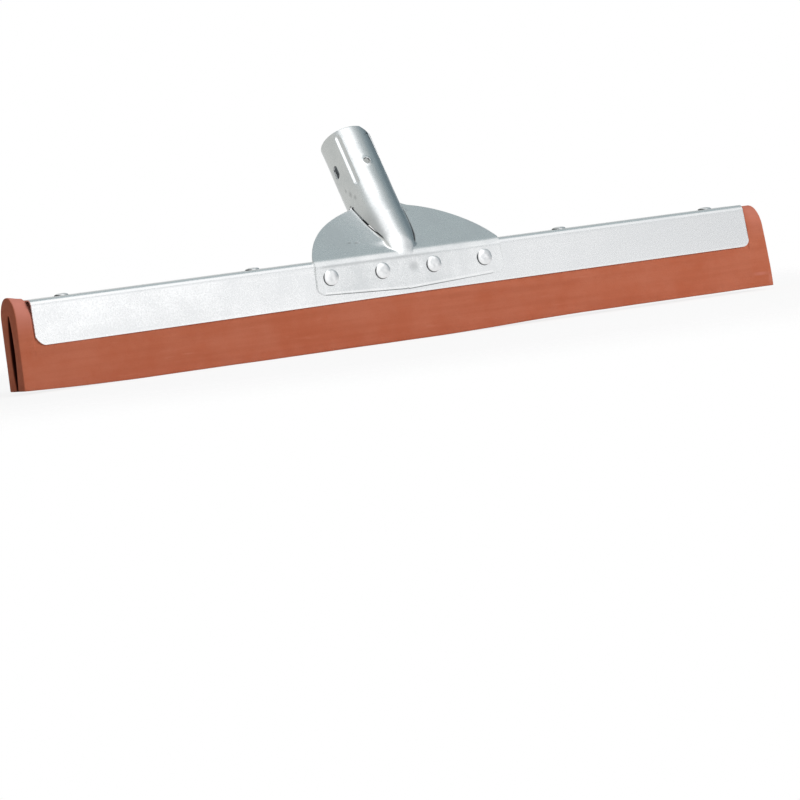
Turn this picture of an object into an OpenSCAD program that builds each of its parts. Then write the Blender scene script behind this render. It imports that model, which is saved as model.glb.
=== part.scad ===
// Floor squeegee head of zinc-plated sheet steel with a folded blade of cellular rubber.
// Units are millimetres. X runs along the blade, Y runs to the back, where the handle leans,
// and Z points up from the floor. The two lips of the blade stand on Z = 0, and the origin
// is at the middle of the foot of the whole part.

/* [Blade] */
// Length of the folded rubber blade
blade_length = 450; // [300:1:750]
// Height of one lip from the floor to the top of the fold inside the channel
blade_height = 47.15; // [38:0.05:60]
// Thickness across the two free lips at the floor
blade_free_thickness = 21; // [20.4:0.1:23]
// Gap between the two lips at the floor
lip_gap_foot = 2; // [0.6:0.1:3]
// Widest gap between the two lips
lip_gap_widest = 4; // [2:0.1:6]
// Height of the widest gap above the floor
lip_gap_widest_height = 13; // [6:0.5:16]
// Thickness of rubber left over the top of the gap
fold_thickness = 5.4; // [5:0.1:10]
// How far the left free end of the fold stands above the gripped length
end_rise_left = 3; // [0:0.1:4]
// How far the right free end of the fold stands above the gripped length
end_rise_right = 0.2; // [0:0.1:4]

/* [Channel] */
// Length of free blade beyond the channel's left end
overhang_left = 9; // [2:0.5:20]
// Length of free blade beyond the channel's right end
overhang_right = 13; // [2:0.5:20]
// Inside width of the channel
channel_inner_width = 20; // [18:0.1:20.2]
// Thickness of the channel's sheet
channel_sheet = 1; // [0.6:0.1:1.5]
// Height of the lower edge of the channel above the floor
channel_edge_height = 25; // [20:0.5:30]
// Outer radius of the two long bends
channel_bend_radius = 3; // [2:0.1:5]
// Radius of the lower corners at the ends of both walls
channel_corner_radius = 4; // [1:0.5:8]

/* [Socket plate] */
// Thickness of the stamped sheet of the socket
socket_sheet = 1.2; // [0.8:0.1:2]
// Reach of the riveted flange to the left of the socket's middle
flange_left = 54.5; // [50:0.5:70]
// Reach of the riveted flange to the right of the socket's middle
flange_right = 56.5; // [50:0.5:70]
// How far the flange's right lower corner stands out beyond its upper end
flange_splay = 1.2; // [0:0.1:2]
// Height above the floor of the flange's lowest point, in the middle
flange_low_middle = 27.2; // [26:0.1:30]
// Rise of the flange's lower edge from the middle to the corners
flange_edge_rise = 2.6; // [0:0.1:4]
// Radius of the flange's lower corners
flange_corner_radius = 5; // [2:0.5:8]
// Lean of the wings back from the vertical, in degrees
wing_lean = 50; // [46:1:56]
// Height of the wings' round outline above the fold, along the sheet
wing_height = 39.5; // [37:0.5:42]
// Radius where the wings run up to the tube
wing_flare_radius = 4.5; // [2:0.5:8]
// Place of the socket's middle along the blade
socket_shift = 1.3; // [-5:0.1:5]
// Width of the slits between the hood and the wings
slit_width = 0.8; // [0.3:0.1:1.5]
// Distance from the fold to the lower end of the left slit, along the sheet
slit_start_left = 12.5; // [4:0.5:16]
// Distance from the fold to the lower end of the right slit, along the sheet
slit_start_right = 4; // [3:0.5:16]
// Distance from the fold to the upper end of the slits, along the sheet
slit_end = 36.5; // [30:0.5:37]

/* [Socket tube] */
// Bore of the handle socket
socket_bore = 25.6; // [22.5:0.1:28.5]
// Lean of the socket tube back from the vertical, in degrees
tube_lean = 35.6; // [30:0.1:38]
// Height above the floor where the tube's axis meets the middle of the blade
tube_foot_height = 45.6; // [44:0.1:48]
// Distance along the axis from there to the rim of the tube
tube_rim = 79; // [70:0.5:110]
// Distance by which the tube's wall reaches below the crossing of the wings and the axis
tube_overlap = 5; // [2:0.5:8]
// Width of the open seam of the rolled tube
seam_gap = 0.8; // [0.3:0.1:1.5]
// Place of the seam round the tube from its front, in degrees
seam_angle = 50; // [40:1:75]
// Width of the cropped corner on each side of the seam, at the rim
seam_crop_width = 5; // [1:0.5:6]
// Depth of the cropped corner at the seam
seam_crop_depth = 2.6; // [0.5:0.1:4]
// Diameter of the screw hole in the front of the tube
screw_hole = 4; // [2.5:0.1:6]
// Distance from the rim down to the screw hole
screw_hole_drop = 24; // [12:0.5:30]
// Width of the nail slot in the side of the tube
nail_slot_width = 3; // [2:0.1:5]
// Length of the nail slot in the side of the tube
nail_slot_length = 7; // [6:0.1:12]
// Distance from the rim down to the middle of the nail slot
nail_slot_drop = 20.5; // [12:0.5:30]
// Place of the nail slot round the tube from its front, in degrees
nail_slot_angle = -82; // [-100:1:-70]
// Depth of the long groove pressed into the tube
groove_depth = 0.6; // [0.2:0.1:0.8]
// Width of the groove
groove_width = 3.2; // [1.6:0.1:4]
// Length of the groove
groove_length = 33; // [15:0.5:36]
// Distance from the rim down to the top of the groove
groove_drop = 3; // [2:0.5:6]
// Place of the groove round the tube from its front, in degrees
groove_angle = -42; // [-55:1:-25]

/* [Rivets] */
// Diameter of a flange rivet's shank
flange_shank = 4; // [3:0.1:5]
// Diameter of a flange rivet's head
flange_head = 8.8; // [7:0.1:11]
// Height of a flange rivet's domed head
flange_head_height = 1.4; // [0.8:0.1:2.5]
// Spacing of the four flange rivets
flange_rivet_pitch = 30.7; // [24:0.1:32]
// Height of the flange rivets above the floor
flange_rivet_height = 38.7; // [36:0.1:40]
// Diameter of a crown rivet's shank
crown_shank = 3; // [2:0.1:4]
// Diameter of a crown rivet's head
crown_head = 7.5; // [6:0.1:10]
// Height of a crown rivet's domed head
crown_head_height = 1.2; // [0.6:0.1:2]
// Distance from the channel's left end to the first crown rivet
crown_end_left = 22; // [12:0.5:30]
// Distance from the channel's right end to the last crown rivet
crown_end_right = 19; // [12:0.5:30]
// Distance from the flange's left edge to the crown rivet beside it
crown_beside_left = 31; // [10:0.5:34]
// Distance from the flange's right edge to the crown rivet beside it
crown_beside_right = 43; // [10:0.5:46]
// Thickness of the burrs under the clenched tails
burr_thickness = 0.8; // [0.5:0.1:1.5]
// Outer diameter of the burrs on the back of the channel
flange_burr_size = 8.4; // [7.5:0.1:12]
// Outer diameter of the burrs inside the fold
crown_burr_size = 6.8; // [6:0.1:9]
// Diameter of a clenched tail as a share of its shank
tail_spread = 1.5; // [1.3:0.05:1.7]
// Height of a clenched tail
tail_height = 1; // [0.6:0.1:1.5]

/* [Fits] */
// Clearance round a shank in its holes
shank_clearance = 0.1; // [0.05:0.05:0.3]
// Clearance between the blade and the inside of the channel
blade_clearance = 0.05; // [0.02:0.01:0.2]

/* [Hidden] */
$fn = 64;
eps = 0.01;

// Channel, between the free ends of the blade
channel_length = blade_length - overhang_left - overhang_right;
channel_shift = (overhang_left - overhang_right) / 2;
channel_half = channel_inner_width / 2;
channel_face = channel_half + channel_sheet;
channel_ceiling = blade_height + blade_clearance;
channel_top = channel_ceiling + channel_sheet;
bend_inner = channel_bend_radius - channel_sheet;
bend_y = channel_face - channel_bend_radius;
bend_z = channel_top - channel_bend_radius;

// Blade section
blade_half = channel_half - blade_clearance;
free_half = blade_free_thickness / 2;
neck_drop = 4;
neck_height = channel_edge_height - neck_drop;
gap_top = blade_height - fold_thickness;

// Socket plate: the flange lies on the channel's front wall and wraps its bend
flange_back = -channel_face;
flange_front = flange_back - socket_sheet;
wrap_radius = channel_bend_radius + socket_sheet;
fold_y = -bend_y - wrap_radius * cos(wing_lean);
fold_z = bend_z + wrap_radius * sin(wing_lean);
plate_length = 2 * (max(flange_left, flange_right) + flange_splay);

// Socket tube, measured along its axis from its foot and forward from its axis
tube_inner = socket_bore / 2;
tube_outer = tube_inner + socket_sheet;
lean_difference = wing_lean - tube_lean;
fold_along = fold_y * sin(tube_lean) + (fold_z - tube_foot_height) * cos(tube_lean);
fold_ahead = -fold_y * cos(tube_lean) + (fold_z - tube_foot_height) * sin(tube_lean);
crossing = fold_along + fold_ahead / tan(lean_difference);
hood_length = crossing - fold_along;
tube_start = crossing - tube_overlap;
tube_length = tube_rim - tube_start;

// Hood: points across each ring, rings, the angle of the lowest ring, the angle left below
// the slits' upper end, and how far the last rings keep clear of the tube's own faces
hood_across = 20;
hood_stations = 14;
hood_first = 7;
hood_rest = 4;
hood_tuck = 0.12;

// Rivets. A crown burr lies this far below the top of the gap, so that rubber holds it.
burr_bed = 0.6;
flange_grip_back = channel_face + burr_thickness;
crown_burr_top = gap_top - burr_bed;
crown_burr_foot = crown_burr_top - burr_thickness;
crown_x = [
    crown_end_left + overhang_left - blade_length / 2,
    socket_shift - flange_left - crown_beside_left,
    socket_shift + flange_right + crown_beside_right,
    blade_length / 2 - overhang_right - crown_end_right];
rivet_count = 4;

// The origin in Y is half way between the front of the rivet heads and the back of the rim
front_reach = flange_front - flange_head_height;
back_reach = tube_rim * sin(tube_lean) + tube_outer * cos(tube_lean);
origin_y = (front_reach + back_reach) / 2;

function flange_rivet_x(i) = socket_shift + (i - (rivet_count + 1) / 2) * flange_rivet_pitch;

// Half of the gap between the lips at height z: a quarter wave out to the widest place,
// then the root of a quarter wave in to the blunt top of the gap.
function half_gap(z) = z < lip_gap_widest_height
    ? (lip_gap_foot + (lip_gap_widest - lip_gap_foot) * sin(90 * z / lip_gap_widest_height)) / 2
    : lip_gap_widest / 2
        * sqrt(cos(90 * (z - lip_gap_widest_height) / (gap_top - lip_gap_widest_height)));

// Reach of the flange and wings to one side, and their round outline's radius and centre
function reach(side) = side < 0 ? flange_left : flange_right;
function arc_radius(side) =
    (reach(side) * reach(side) + wing_height * wing_height) / (2 * wing_height);
function arc_centre(side) = wing_height - arc_radius(side);

// Moves a sub-part from the frame of the blade's middle plane to the part's origin
module placed() {
    translate([0, -origin_y, 0]) children();
}

// Carries a section drawn in Y and Z along X, centred on x
module along_x(length, x = 0) {
    translate([x, 0, 0]) rotate([90, 0, 90])
        linear_extrude(height = length, center = true) children();
}

// Frame of the wings: x across, y up along the sheet, z out of the outer face
module wing_frame() {
    translate([socket_shift, fold_y, fold_z]) rotate([90 - wing_lean, 0, 0]) children();
}

// Frame of the tube: z along the axis towards the rim, -y to the front
module tube_frame() {
    translate([socket_shift, 0, tube_foot_height]) rotate([-tube_lean, 0, 0]) children();
}

// Something pointing out of the tube's wall at an angle from the front
module on_tube(angle, along) {
    rotate([0, 0, angle]) translate([0, 0, along]) rotate([90, 0, 0]) children();
}

// Domed head of a rivet: a short rim under a slice of a sphere, standing on z = 0
module dome(size, height) {
    rim = height / 4;
    rise = height - rim;
    ball = (size * size / 4 + rise * rise) / (2 * rise);
    cylinder(d = size, h = rim);
    difference() {
        translate([0, 0, height - ball]) sphere(r = ball);
        translate([-2 * ball, -2 * ball, rim - 4 * ball]) cube(4 * ball);
    }
}

// Outline of the channel's section, with its two bends
module channel_outline(half, top, radius) {
    translate([-half, channel_edge_height]) square([2 * half, top - radius - channel_edge_height]);
    translate([radius - half, channel_edge_height])
        square([2 * (half - radius), top - channel_edge_height]);
    for (side = [-1, 1])
        translate([side * (half - radius), top - radius]) circle(r = radius);
}

// Inverted U of sheet that grips the blade along its whole length
module channel() {
    color("gainsboro") placed() difference() {
        along_x(channel_length, channel_shift) difference() {
            channel_outline(channel_face, channel_top, channel_bend_radius);
            translate([0, -eps]) channel_outline(channel_half, channel_ceiling + eps, bend_inner);
        }
        for (end = [-1, 1])
            translate([channel_shift + end * channel_length / 2, 0, channel_edge_height])
                scale([end, 1, 1]) wall_corner();
        for (i = [1 : rivet_count]) {
            translate([flange_rivet_x(i), 0, flange_rivet_height]) rotate([90, 0, 0])
                cylinder(d = flange_shank + 2 * shank_clearance, h = 3 * channel_face,
                    center = true);
            translate([crown_x[i - 1], 0, channel_ceiling - 1])
                cylinder(d = crown_shank + 2 * shank_clearance, h = channel_sheet + 2);
        }
    }
}

// What is cut from the lower corner of both walls at the end that points to +X
module wall_corner() {
    r = channel_corner_radius;
    translate([-r, 0, 0]) difference() {
        translate([0, -2 * channel_face, -1]) cube([r + 1, 4 * channel_face, r + 1]);
        translate([0, 0, r]) rotate([90, 0, 0])
            cylinder(r = r, h = 5 * channel_face, center = true);
    }
}

// Outside of the blade's section where the channel grips it
module gripped_section() {
    translate([0, blade_height - blade_half]) circle(r = blade_half);
    polygon([
        [-free_half, 0], [free_half, 0], [free_half, neck_height],
        [blade_half, channel_edge_height], [blade_half, blade_height - blade_half],
        [-blade_half, blade_height - blade_half], [-blade_half, channel_edge_height],
        [-free_half, neck_height]]);
}

// Outside of the blade's section at its free ends, where nothing squeezes it
module free_section(rise) {
    arch_z = blade_height + rise - free_half;
    translate([0, arch_z]) circle(r = free_half);
    translate([-free_half, 0]) square([2 * free_half, arch_z]);
}

// Gap between the lips
module gap_section() {
    steps = 18;
    rise = gap_top / steps;
    polygon([
        each [for (i = [0 : steps - 1]) [half_gap(i * rise), i * rise]],
        [0, gap_top],
        each [for (i = [steps - 1 : -1 : 0]) [-half_gap(i * rise), i * rise]]]);
    translate([-lip_gap_foot / 2, -1]) square([lip_gap_foot, 1 + eps]);
}

// Strip of cellular rubber folded lengthwise, so that two lips touch the floor
module rubber_blade() {
    grip = channel_length + 2 * blade_clearance;
    color("sienna") placed() difference() {
        union() {
            along_x(grip, channel_shift) gripped_section();
            for (end = [-1, 1]) {
                inner = channel_shift * end + grip / 2;
                length = blade_length / 2 - inner;
                along_x(length, end * (inner + length / 2))
                    free_section(end < 0 ? end_rise_left : end_rise_right);
            }
        }
        along_x(blade_length + 2) gap_section();
        for (i = [1 : rivet_count]) {
            translate([flange_rivet_x(i), 0, flange_rivet_height]) rotate([90, 0, 0])
                cylinder(d = flange_shank + 2 * shank_clearance, h = 3 * free_half, center = true);
            translate([crown_x[i - 1], 0, crown_burr_foot - tail_height - shank_clearance]) {
                cylinder(d = crown_shank + 2 * shank_clearance, h = blade_height);
                cylinder(d = crown_burr_size + 2 * shank_clearance,
                    h = burr_thickness + tail_height + 2 * shank_clearance);
            }
        }
    }
}

// Flange outline in X and Z: a shallow V below, with round corners
module flange_outline() {
    r = flange_corner_radius;
    for (side = [-1, 1]) {
        half = reach(side);
        slope = atan(flange_edge_rise / half);
        centre_x = half - r + (side < 0 ? 0 : flange_splay);
        centre_z = flange_low_middle + centre_x * tan(slope) + r / cos(slope);
        scale([side, 1]) {
            translate([centre_x, centre_z]) circle(r = r);
            polygon([
                [-1, flange_low_middle], [0, flange_low_middle],
                [centre_x + r * sin(slope), centre_z - r * cos(slope)],
                [centre_x, centre_z], [centre_x + r, centre_z], [half, bend_z], [-1, bend_z]]);
        }
    }
}

// Section of the folded sheet in Y and Z: down the channel's front wall, round its bend, and
// up along the wings
module folded_section() {
    steps = 10;
    up = wing_height + 2 * wing_flare_radius;
    rise = [sin(wing_lean) * up, cos(wing_lean) * up];
    function bend_point(radius, i) =
        [-bend_y - radius * cos(wing_lean * i / steps), bend_z + radius * sin(wing_lean * i / steps)];
    polygon([
        [flange_front, channel_edge_height],
        each [for (i = [0 : steps]) bend_point(wrap_radius, i)],
        bend_point(wrap_radius, steps) + rise,
        bend_point(channel_bend_radius, steps) + rise,
        each [for (i = [steps : -1 : 0]) bend_point(channel_bend_radius, i)],
        [flange_back, channel_edge_height]]);
}

// Half width of the hood at an angle along its half-ellipse plan, and its place on the sheet
function hood_half(b) = tube_outer * sin(b);
function hood_place(b) = hood_length / cos(lean_difference) * (1 - cos(b));

// Angle along the hood's plan at a distance from the fold
function hood_angle(place) = acos(1 - place * cos(lean_difference) / hood_length);

// Margin of the opening between the wings beyond the hood: a slit, or sunk in where they join
function opening_margin(place, start) =
    place > start && place < slit_end ? slit_width : -socket_sheet / 2;

// Outline of one wing on its sheet, drawn to the right, with the opening beside the hood
module wing_outline(side) {
    steps = 30;
    radius = arc_radius(side);
    centre = arc_centre(side);
    start = side < 0 ? slit_start_left : slit_start_right;
    side_x = tube_outer - socket_sheet / 2;
    flare_x = side_x + wing_flare_radius;
    flare_reach = radius + wing_flare_radius;
    flare_y = centre + sqrt(flare_reach * flare_reach - flare_x * flare_x);
    touch_x = flare_x * radius / flare_reach;
    touch_y = centre + (flare_y - centre) * radius / flare_reach;
    difference() {
        union() {
            intersection() {
                translate([0, centre]) circle(r = radius, $fn = 128);
                translate([-eps, 0]) square([reach(side) + eps, wing_height + 1]);
            }
            difference() {
                polygon([
                    [side_x - 1, touch_y - 3], [touch_x - 1, touch_y - 3], [touch_x, touch_y],
                    [flare_x, flare_y], [side_x - 1, flare_y]]);
                translate([flare_x, flare_y]) circle(r = wing_flare_radius);
            }
        }
        polygon([
            [-1, 0],
            each [for (i = [0 : steps]) let (b = 90 * i / steps) [
                max(eps, hood_half(b) + opening_margin(hood_place(b), start)), hood_place(b)]],
            [-1, hood_place(90)]]);
    }
}

// Solid under the hood's skin: half ellipses across the tube's axis whose feet follow the
// wings' plane, from the fold up into the tube. inset moves the skin inwards all round.
module hood_form(inset, depth) {
    tuck = inset == 0 ? hood_tuck : -hood_tuck;
    top_angle = hood_angle(slit_end);
    lofted = [for (i = [0 : hood_stations - 1]) hood_first
        + (top_angle - hood_rest - hood_first) * i / (hood_stations - 1)];
    rings = [
        each [for (b = lofted) hood_ring(b, inset, depth, crossing - hood_length * cos(b))],
        hood_ring(top_angle + hood_rest / 4, inset + tuck, depth, tube_start),
        hood_ring(90, inset + tuck, depth, tube_start + tube_overlap)];
    size = hood_across + 3;
    count = len(rings);
    last = (count - 1) * size;
    polyhedron(
        points = [for (ring = rings) each ring],
        faces = [
            for (j = [1 : size - 2]) [0, j, j + 1],
            for (j = [1 : size - 2]) [last, last + j + 1, last + j],
            for (i = [0 : count - 2], j = [0 : size - 1], half = [0, 1])
                let (a = i * size + j, b = i * size + (j + 1) % size)
                half == 0 ? [a, b + size, b] : [a, a + size, b + size]]);
}

// One ring of the hood's solid, from its left foot over the front to its right foot
function hood_ring(b, inset, depth, along) =
    let (half = max(0.3, hood_half(b) - inset),
        plane = hood_length * cos(b) * tan(lean_difference),
        rise = tube_outer - inset - plane)
    [
        [-half, -(plane - depth), along],
        each [for (a = [0 : 180 / hood_across : 180])
            [-half * cos(a), -(plane + rise * sin(a)), along]],
        [half, -(plane - depth), along]];

// Space behind the flange's front face, or behind its back face
module behind(face) {
    translate([-plate_length, face, 0]) cube([2 * plate_length, 2 * tube_rim, 2 * tube_rim]);
}

// Skin that carries the tube's front down into the flange
module hood() {
    difference() {
        intersection() {
            tube_frame() hood_form(0, socket_sheet / 2);
            behind(flange_front);
        }
        intersection() {
            tube_frame() hood_form(socket_sheet, 3 * socket_sheet);
            behind(flange_back);
        }
    }
}

// Rolled tube with its open seam, pressed groove, screw hole and nail slot. The groove is cut
// from the outside only, so that the bore stays round.
module socket_tube() {
    tube_frame() difference() {
        translate([0, 0, tube_start]) cylinder(r = tube_outer, h = tube_length, $fn = 96);
        rotate([0, 0, groove_angle])
            translate([0, -tube_outer, tube_rim - groove_drop - groove_width / 2]) groove_cutter();
        translate([0, 0, tube_start - 1])
            cylinder(r = tube_inner, h = tube_length + 2, $fn = 96);
        rotate([0, 0, seam_angle]) {
            translate([-seam_gap / 2, -tube_outer - 1, tube_start - 1])
                cube([seam_gap, socket_sheet + 3, tube_length + 2]);
            translate([0, -tube_outer + 3, tube_rim]) rotate([90, 0, 0])
                linear_extrude(height = 6) polygon([
                    [-2 * seam_crop_width, seam_crop_depth], [0, -seam_crop_depth],
                    [2 * seam_crop_width, seam_crop_depth]]);
        }
        on_tube(0, tube_rim - screw_hole_drop) cylinder(d = screw_hole, h = 2 * tube_outer);
        on_tube(nail_slot_angle, tube_rim - nail_slot_drop) nail_slot_cutter();
    }
}

// Round bar with round ends that lies in the tube's front by the groove's depth, hanging down
module groove_cutter() {
    ball = (groove_width * groove_width / 4 + groove_depth * groove_depth) / (2 * groove_depth);
    straight = groove_length - groove_width;
    translate([0, groove_depth - ball, 0]) {
        sphere(r = ball);
        translate([0, 0, -straight]) cylinder(r = ball, h = straight);
        translate([0, 0, -straight]) sphere(r = ball);
    }
}

// Round-ended slot, long along the tube
module nail_slot_cutter() {
    straight = nail_slot_length - nail_slot_width;
    for (end = [-1, 1])
        translate([0, end * straight / 2, 0]) cylinder(d = nail_slot_width, h = 2 * tube_outer);
    translate([-nail_slot_width / 2, -straight / 2, 0])
        cube([nail_slot_width, straight, 2 * tube_outer]);
}

// Folded sheet, trimmed to the flange's outline below the bend and the wings' above it
module flange_and_wings() {
    difference() {
        along_x(plate_length, socket_shift) folded_section();
        translate([socket_shift, 0, 0]) rotate([90, 0, 0])
            linear_extrude(height = 2 * channel_face) difference() {
                translate([-plate_length, 0]) square([2 * plate_length, bend_z]);
                flange_outline();
            }
        wing_frame() translate([0, 0, -2 * socket_sheet])
            linear_extrude(height = 3 * socket_sheet) difference() {
                translate([-plate_length, 0]) square([2 * plate_length, 2 * wing_height]);
                for (side = [-1, 1]) scale([side, 1]) wing_outline(side);
            }
    }
}

// One stamping: riveted flange, wrap over the channel's bend, two wings, hood and rolled tube
module handle_socket() {
    color("lightsteelblue") placed() difference() {
        union() {
            flange_and_wings();
            hood();
            socket_tube();
        }
        for (i = [1 : rivet_count])
            translate([flange_rivet_x(i), flange_back + 1, flange_rivet_height])
                rotate([90, 0, 0])
                    cylinder(d = flange_shank + 2 * shank_clearance, h = socket_sheet + 2);
    }
}

// Rivet through the flange, both walls of the channel and the blade, clenched on its burr
module flange_rivet(i) {
    grip = flange_grip_back - flange_front;
    color("whitesmoke") placed()
        translate([flange_rivet_x(i), flange_front, flange_rivet_height]) rotate([90, 0, 0]) {
            dome(flange_head, flange_head_height);
            translate([0, 0, -grip]) cylinder(d = flange_shank, h = grip);
            translate([0, 0, -grip]) rotate([180, 0, 0])
                dome(flange_shank * tail_spread, tail_height);
        }
}

// Ring under the tail of a flange rivet, on the back of the channel
module flange_burr(i) {
    color("silver") placed()
        translate([flange_rivet_x(i), flange_grip_back, flange_rivet_height])
            rotate([90, 0, 0]) burr(flange_burr_size, flange_shank);
}

// Rivet through the channel's crown and the fold of the blade, clenched inside the gap
module crown_rivet(i) {
    color("whitesmoke") placed() translate([crown_x[i - 1], 0, 0]) {
        translate([0, 0, channel_top]) dome(crown_head, crown_head_height);
        translate([0, 0, crown_burr_foot])
            cylinder(d = crown_shank, h = channel_top - crown_burr_foot);
        translate([0, 0, crown_burr_foot]) rotate([180, 0, 0])
            dome(crown_shank * tail_spread, tail_height);
    }
}

// Ring under the tail of a crown rivet, bedded in the rubber
module crown_burr(i) {
    color("silver") placed() translate([crown_x[i - 1], 0, crown_burr_foot])
        burr(crown_burr_size, crown_shank);
}

// Flat ring with a clearance hole, standing on z = 0
module burr(size, shank) {
    difference() {
        cylinder(d = size, h = burr_thickness);
        translate([0, 0, -1])
            cylinder(d = shank + 2 * shank_clearance, h = burr_thickness + 2);
    }
}

channel();
rubber_blade();
handle_socket();
flange_rivet(1);  // flange_rivet_1
flange_rivet(2);  // flange_rivet_2
flange_rivet(3);  // flange_rivet_3
flange_rivet(4);  // flange_rivet_4
flange_burr(1);  // flange_burr_1
flange_burr(2);  // flange_burr_2
flange_burr(3);  // flange_burr_3
flange_burr(4);  // flange_burr_4
crown_rivet(1);  // crown_rivet_1
crown_rivet(2);  // crown_rivet_2
crown_rivet(3);  // crown_rivet_3
crown_rivet(4);  // crown_rivet_4
crown_burr(1);  // crown_burr_1
crown_burr(2);  // crown_burr_2
crown_burr(3);  // crown_burr_3
crown_burr(4);  // crown_burr_4
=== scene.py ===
# Floor squeegee head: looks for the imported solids. Lengths are millimetres until a mesh is made,
# X runs along the blade, Y to the back from the blade's middle plane, and Z up from the floor.

import logging
import math
from dataclasses import dataclass, field
from enum import Enum

import bpy
import bmesh
import numpy as np
from mathutils import Matrix, Vector

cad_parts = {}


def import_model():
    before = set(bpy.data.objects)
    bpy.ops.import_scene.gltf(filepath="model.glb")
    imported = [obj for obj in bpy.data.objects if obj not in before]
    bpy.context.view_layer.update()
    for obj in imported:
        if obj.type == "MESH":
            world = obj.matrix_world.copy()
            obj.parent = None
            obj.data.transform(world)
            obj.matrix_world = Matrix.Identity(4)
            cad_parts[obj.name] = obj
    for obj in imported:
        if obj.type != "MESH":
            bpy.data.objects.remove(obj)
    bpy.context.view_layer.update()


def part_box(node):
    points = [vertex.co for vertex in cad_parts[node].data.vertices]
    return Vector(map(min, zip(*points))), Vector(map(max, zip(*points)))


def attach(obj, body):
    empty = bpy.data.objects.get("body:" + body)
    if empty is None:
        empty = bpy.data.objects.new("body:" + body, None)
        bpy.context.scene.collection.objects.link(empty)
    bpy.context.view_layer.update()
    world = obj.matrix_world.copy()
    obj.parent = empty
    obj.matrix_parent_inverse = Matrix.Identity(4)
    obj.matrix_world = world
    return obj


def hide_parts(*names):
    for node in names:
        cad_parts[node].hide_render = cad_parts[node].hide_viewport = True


log = logging.getLogger("squeegee")

MILLIMETRE = 0.001
WHITE = (1.0, 1.0, 1.0)
Array = np.ndarray
Colour = tuple[float, float, float]
Piece = bpy.types.Object
Link = bpy.types.NodeSocket


# Small tools for surfaces and meshes


def unit(value: Array) -> Array:
    """Value held between 0 and 1."""
    return np.clip(value, 0.0, 1.0)


def mix(first: Array, second: Array, share: Array) -> Array:
    """Straight blend from a first value to a second one."""
    return first + (second - first) * share


def smooth_step(low: float, high: float, value: Array) -> Array:
    """Ease from 0 to 1 between two values: three times the square less twice the cube.

    Args:
        low: Value where the ease starts.
        high: Value where it ends.
        value: Values to ease.

    Returns:
        Array between 0 and 1.
    """
    share = unit((np.asarray(value, float) - low) / (high - low))
    return share * share * (3.0 - 2.0 * share)


def soft_min(first: Array, second: Array, reach: Array) -> Array:
    """Smaller of two heights with a rounded changeover: their mean less half the root of the
    squared difference plus the squared reach."""
    return (first + second) / 2 - np.sqrt((first - second) ** 2 + reach * reach) / 2


def bump(distance: Array, radius: float) -> Array:
    """Round hump of height 1: the square of one less the squared share of its radius."""
    return unit(1.0 - (distance / radius) ** 2) ** 2


def spot(first: Array, second: Array, radius: float, stretch: float = 1.0) -> Array:
    """Round hump about a place, from the distances to it, the first of them stretched."""
    return bump(np.hypot(first / stretch, second), radius)


def waviness(first: Array, second: Array, lengths: tuple[float, float], seed: int) -> Array:
    """Gentle unevenness of height about 1: the mean of eight sine waves in seeded directions.

    Args:
        first: Coordinate along the sheet.
        second: Coordinate across the sheet.
        lengths: Shortest and longest wave length.
        seed: Seed of the directions and phases.

    Returns:
        Array of heights.
    """
    draw = np.random.default_rng(seed)
    total = np.zeros(np.broadcast(first, second).shape)
    for length, angle, phase in zip(
        draw.uniform(*lengths, 8), draw.uniform(0, math.pi, 8), draw.uniform(0, 2 * math.pi, 8)
    ):
        along = first * math.cos(angle) + second * math.sin(angle)
        total = total + np.sin(2 * math.pi * along / length + phase)
    return total / 4


@dataclass
class Patch:
    """Grid of points, rows by columns, whose faces look to the left of a walk up its rows."""

    points: Array

    def faces(self, start: int) -> Array:
        """Quads between neighbouring points.

        Args:
            start: Number of the patch's first vertex in the whole mesh.

        Returns:
            Array of four vertex numbers a face.
        """
        rows, columns = self.points.shape[:2]
        number = np.arange(rows * columns).reshape(rows, columns) + start
        return np.stack([number[:-1, :-1], number[:-1, 1:], number[1:, 1:], number[1:, :-1]],
                        axis=-1).reshape(-1, 4)


def mirrored(front: Array) -> Array:
    """Front half of a section in Y and Z, walked backwards and mirrored to the back."""
    return front[:, ::-1] * np.array([-1.0, 1.0])


def swept(x: Array, section: Array) -> Array:
    """Points of a section in Y and Z at each station of X."""
    across = np.broadcast_to(x[:, None, None], section.shape[:2] + (1,))
    return np.concatenate([across, section], -1)


def face_outwards(mesh: bpy.types.Mesh) -> None:
    """Turns the faces of a closed mesh outwards.

    Args:
        mesh: Mesh whose doubles are merged.
    """
    shape = bmesh.new()
    shape.from_mesh(mesh)
    bmesh.ops.recalc_face_normals(shape, faces=shape.faces)
    shape.to_mesh(mesh)
    shape.free()


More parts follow.
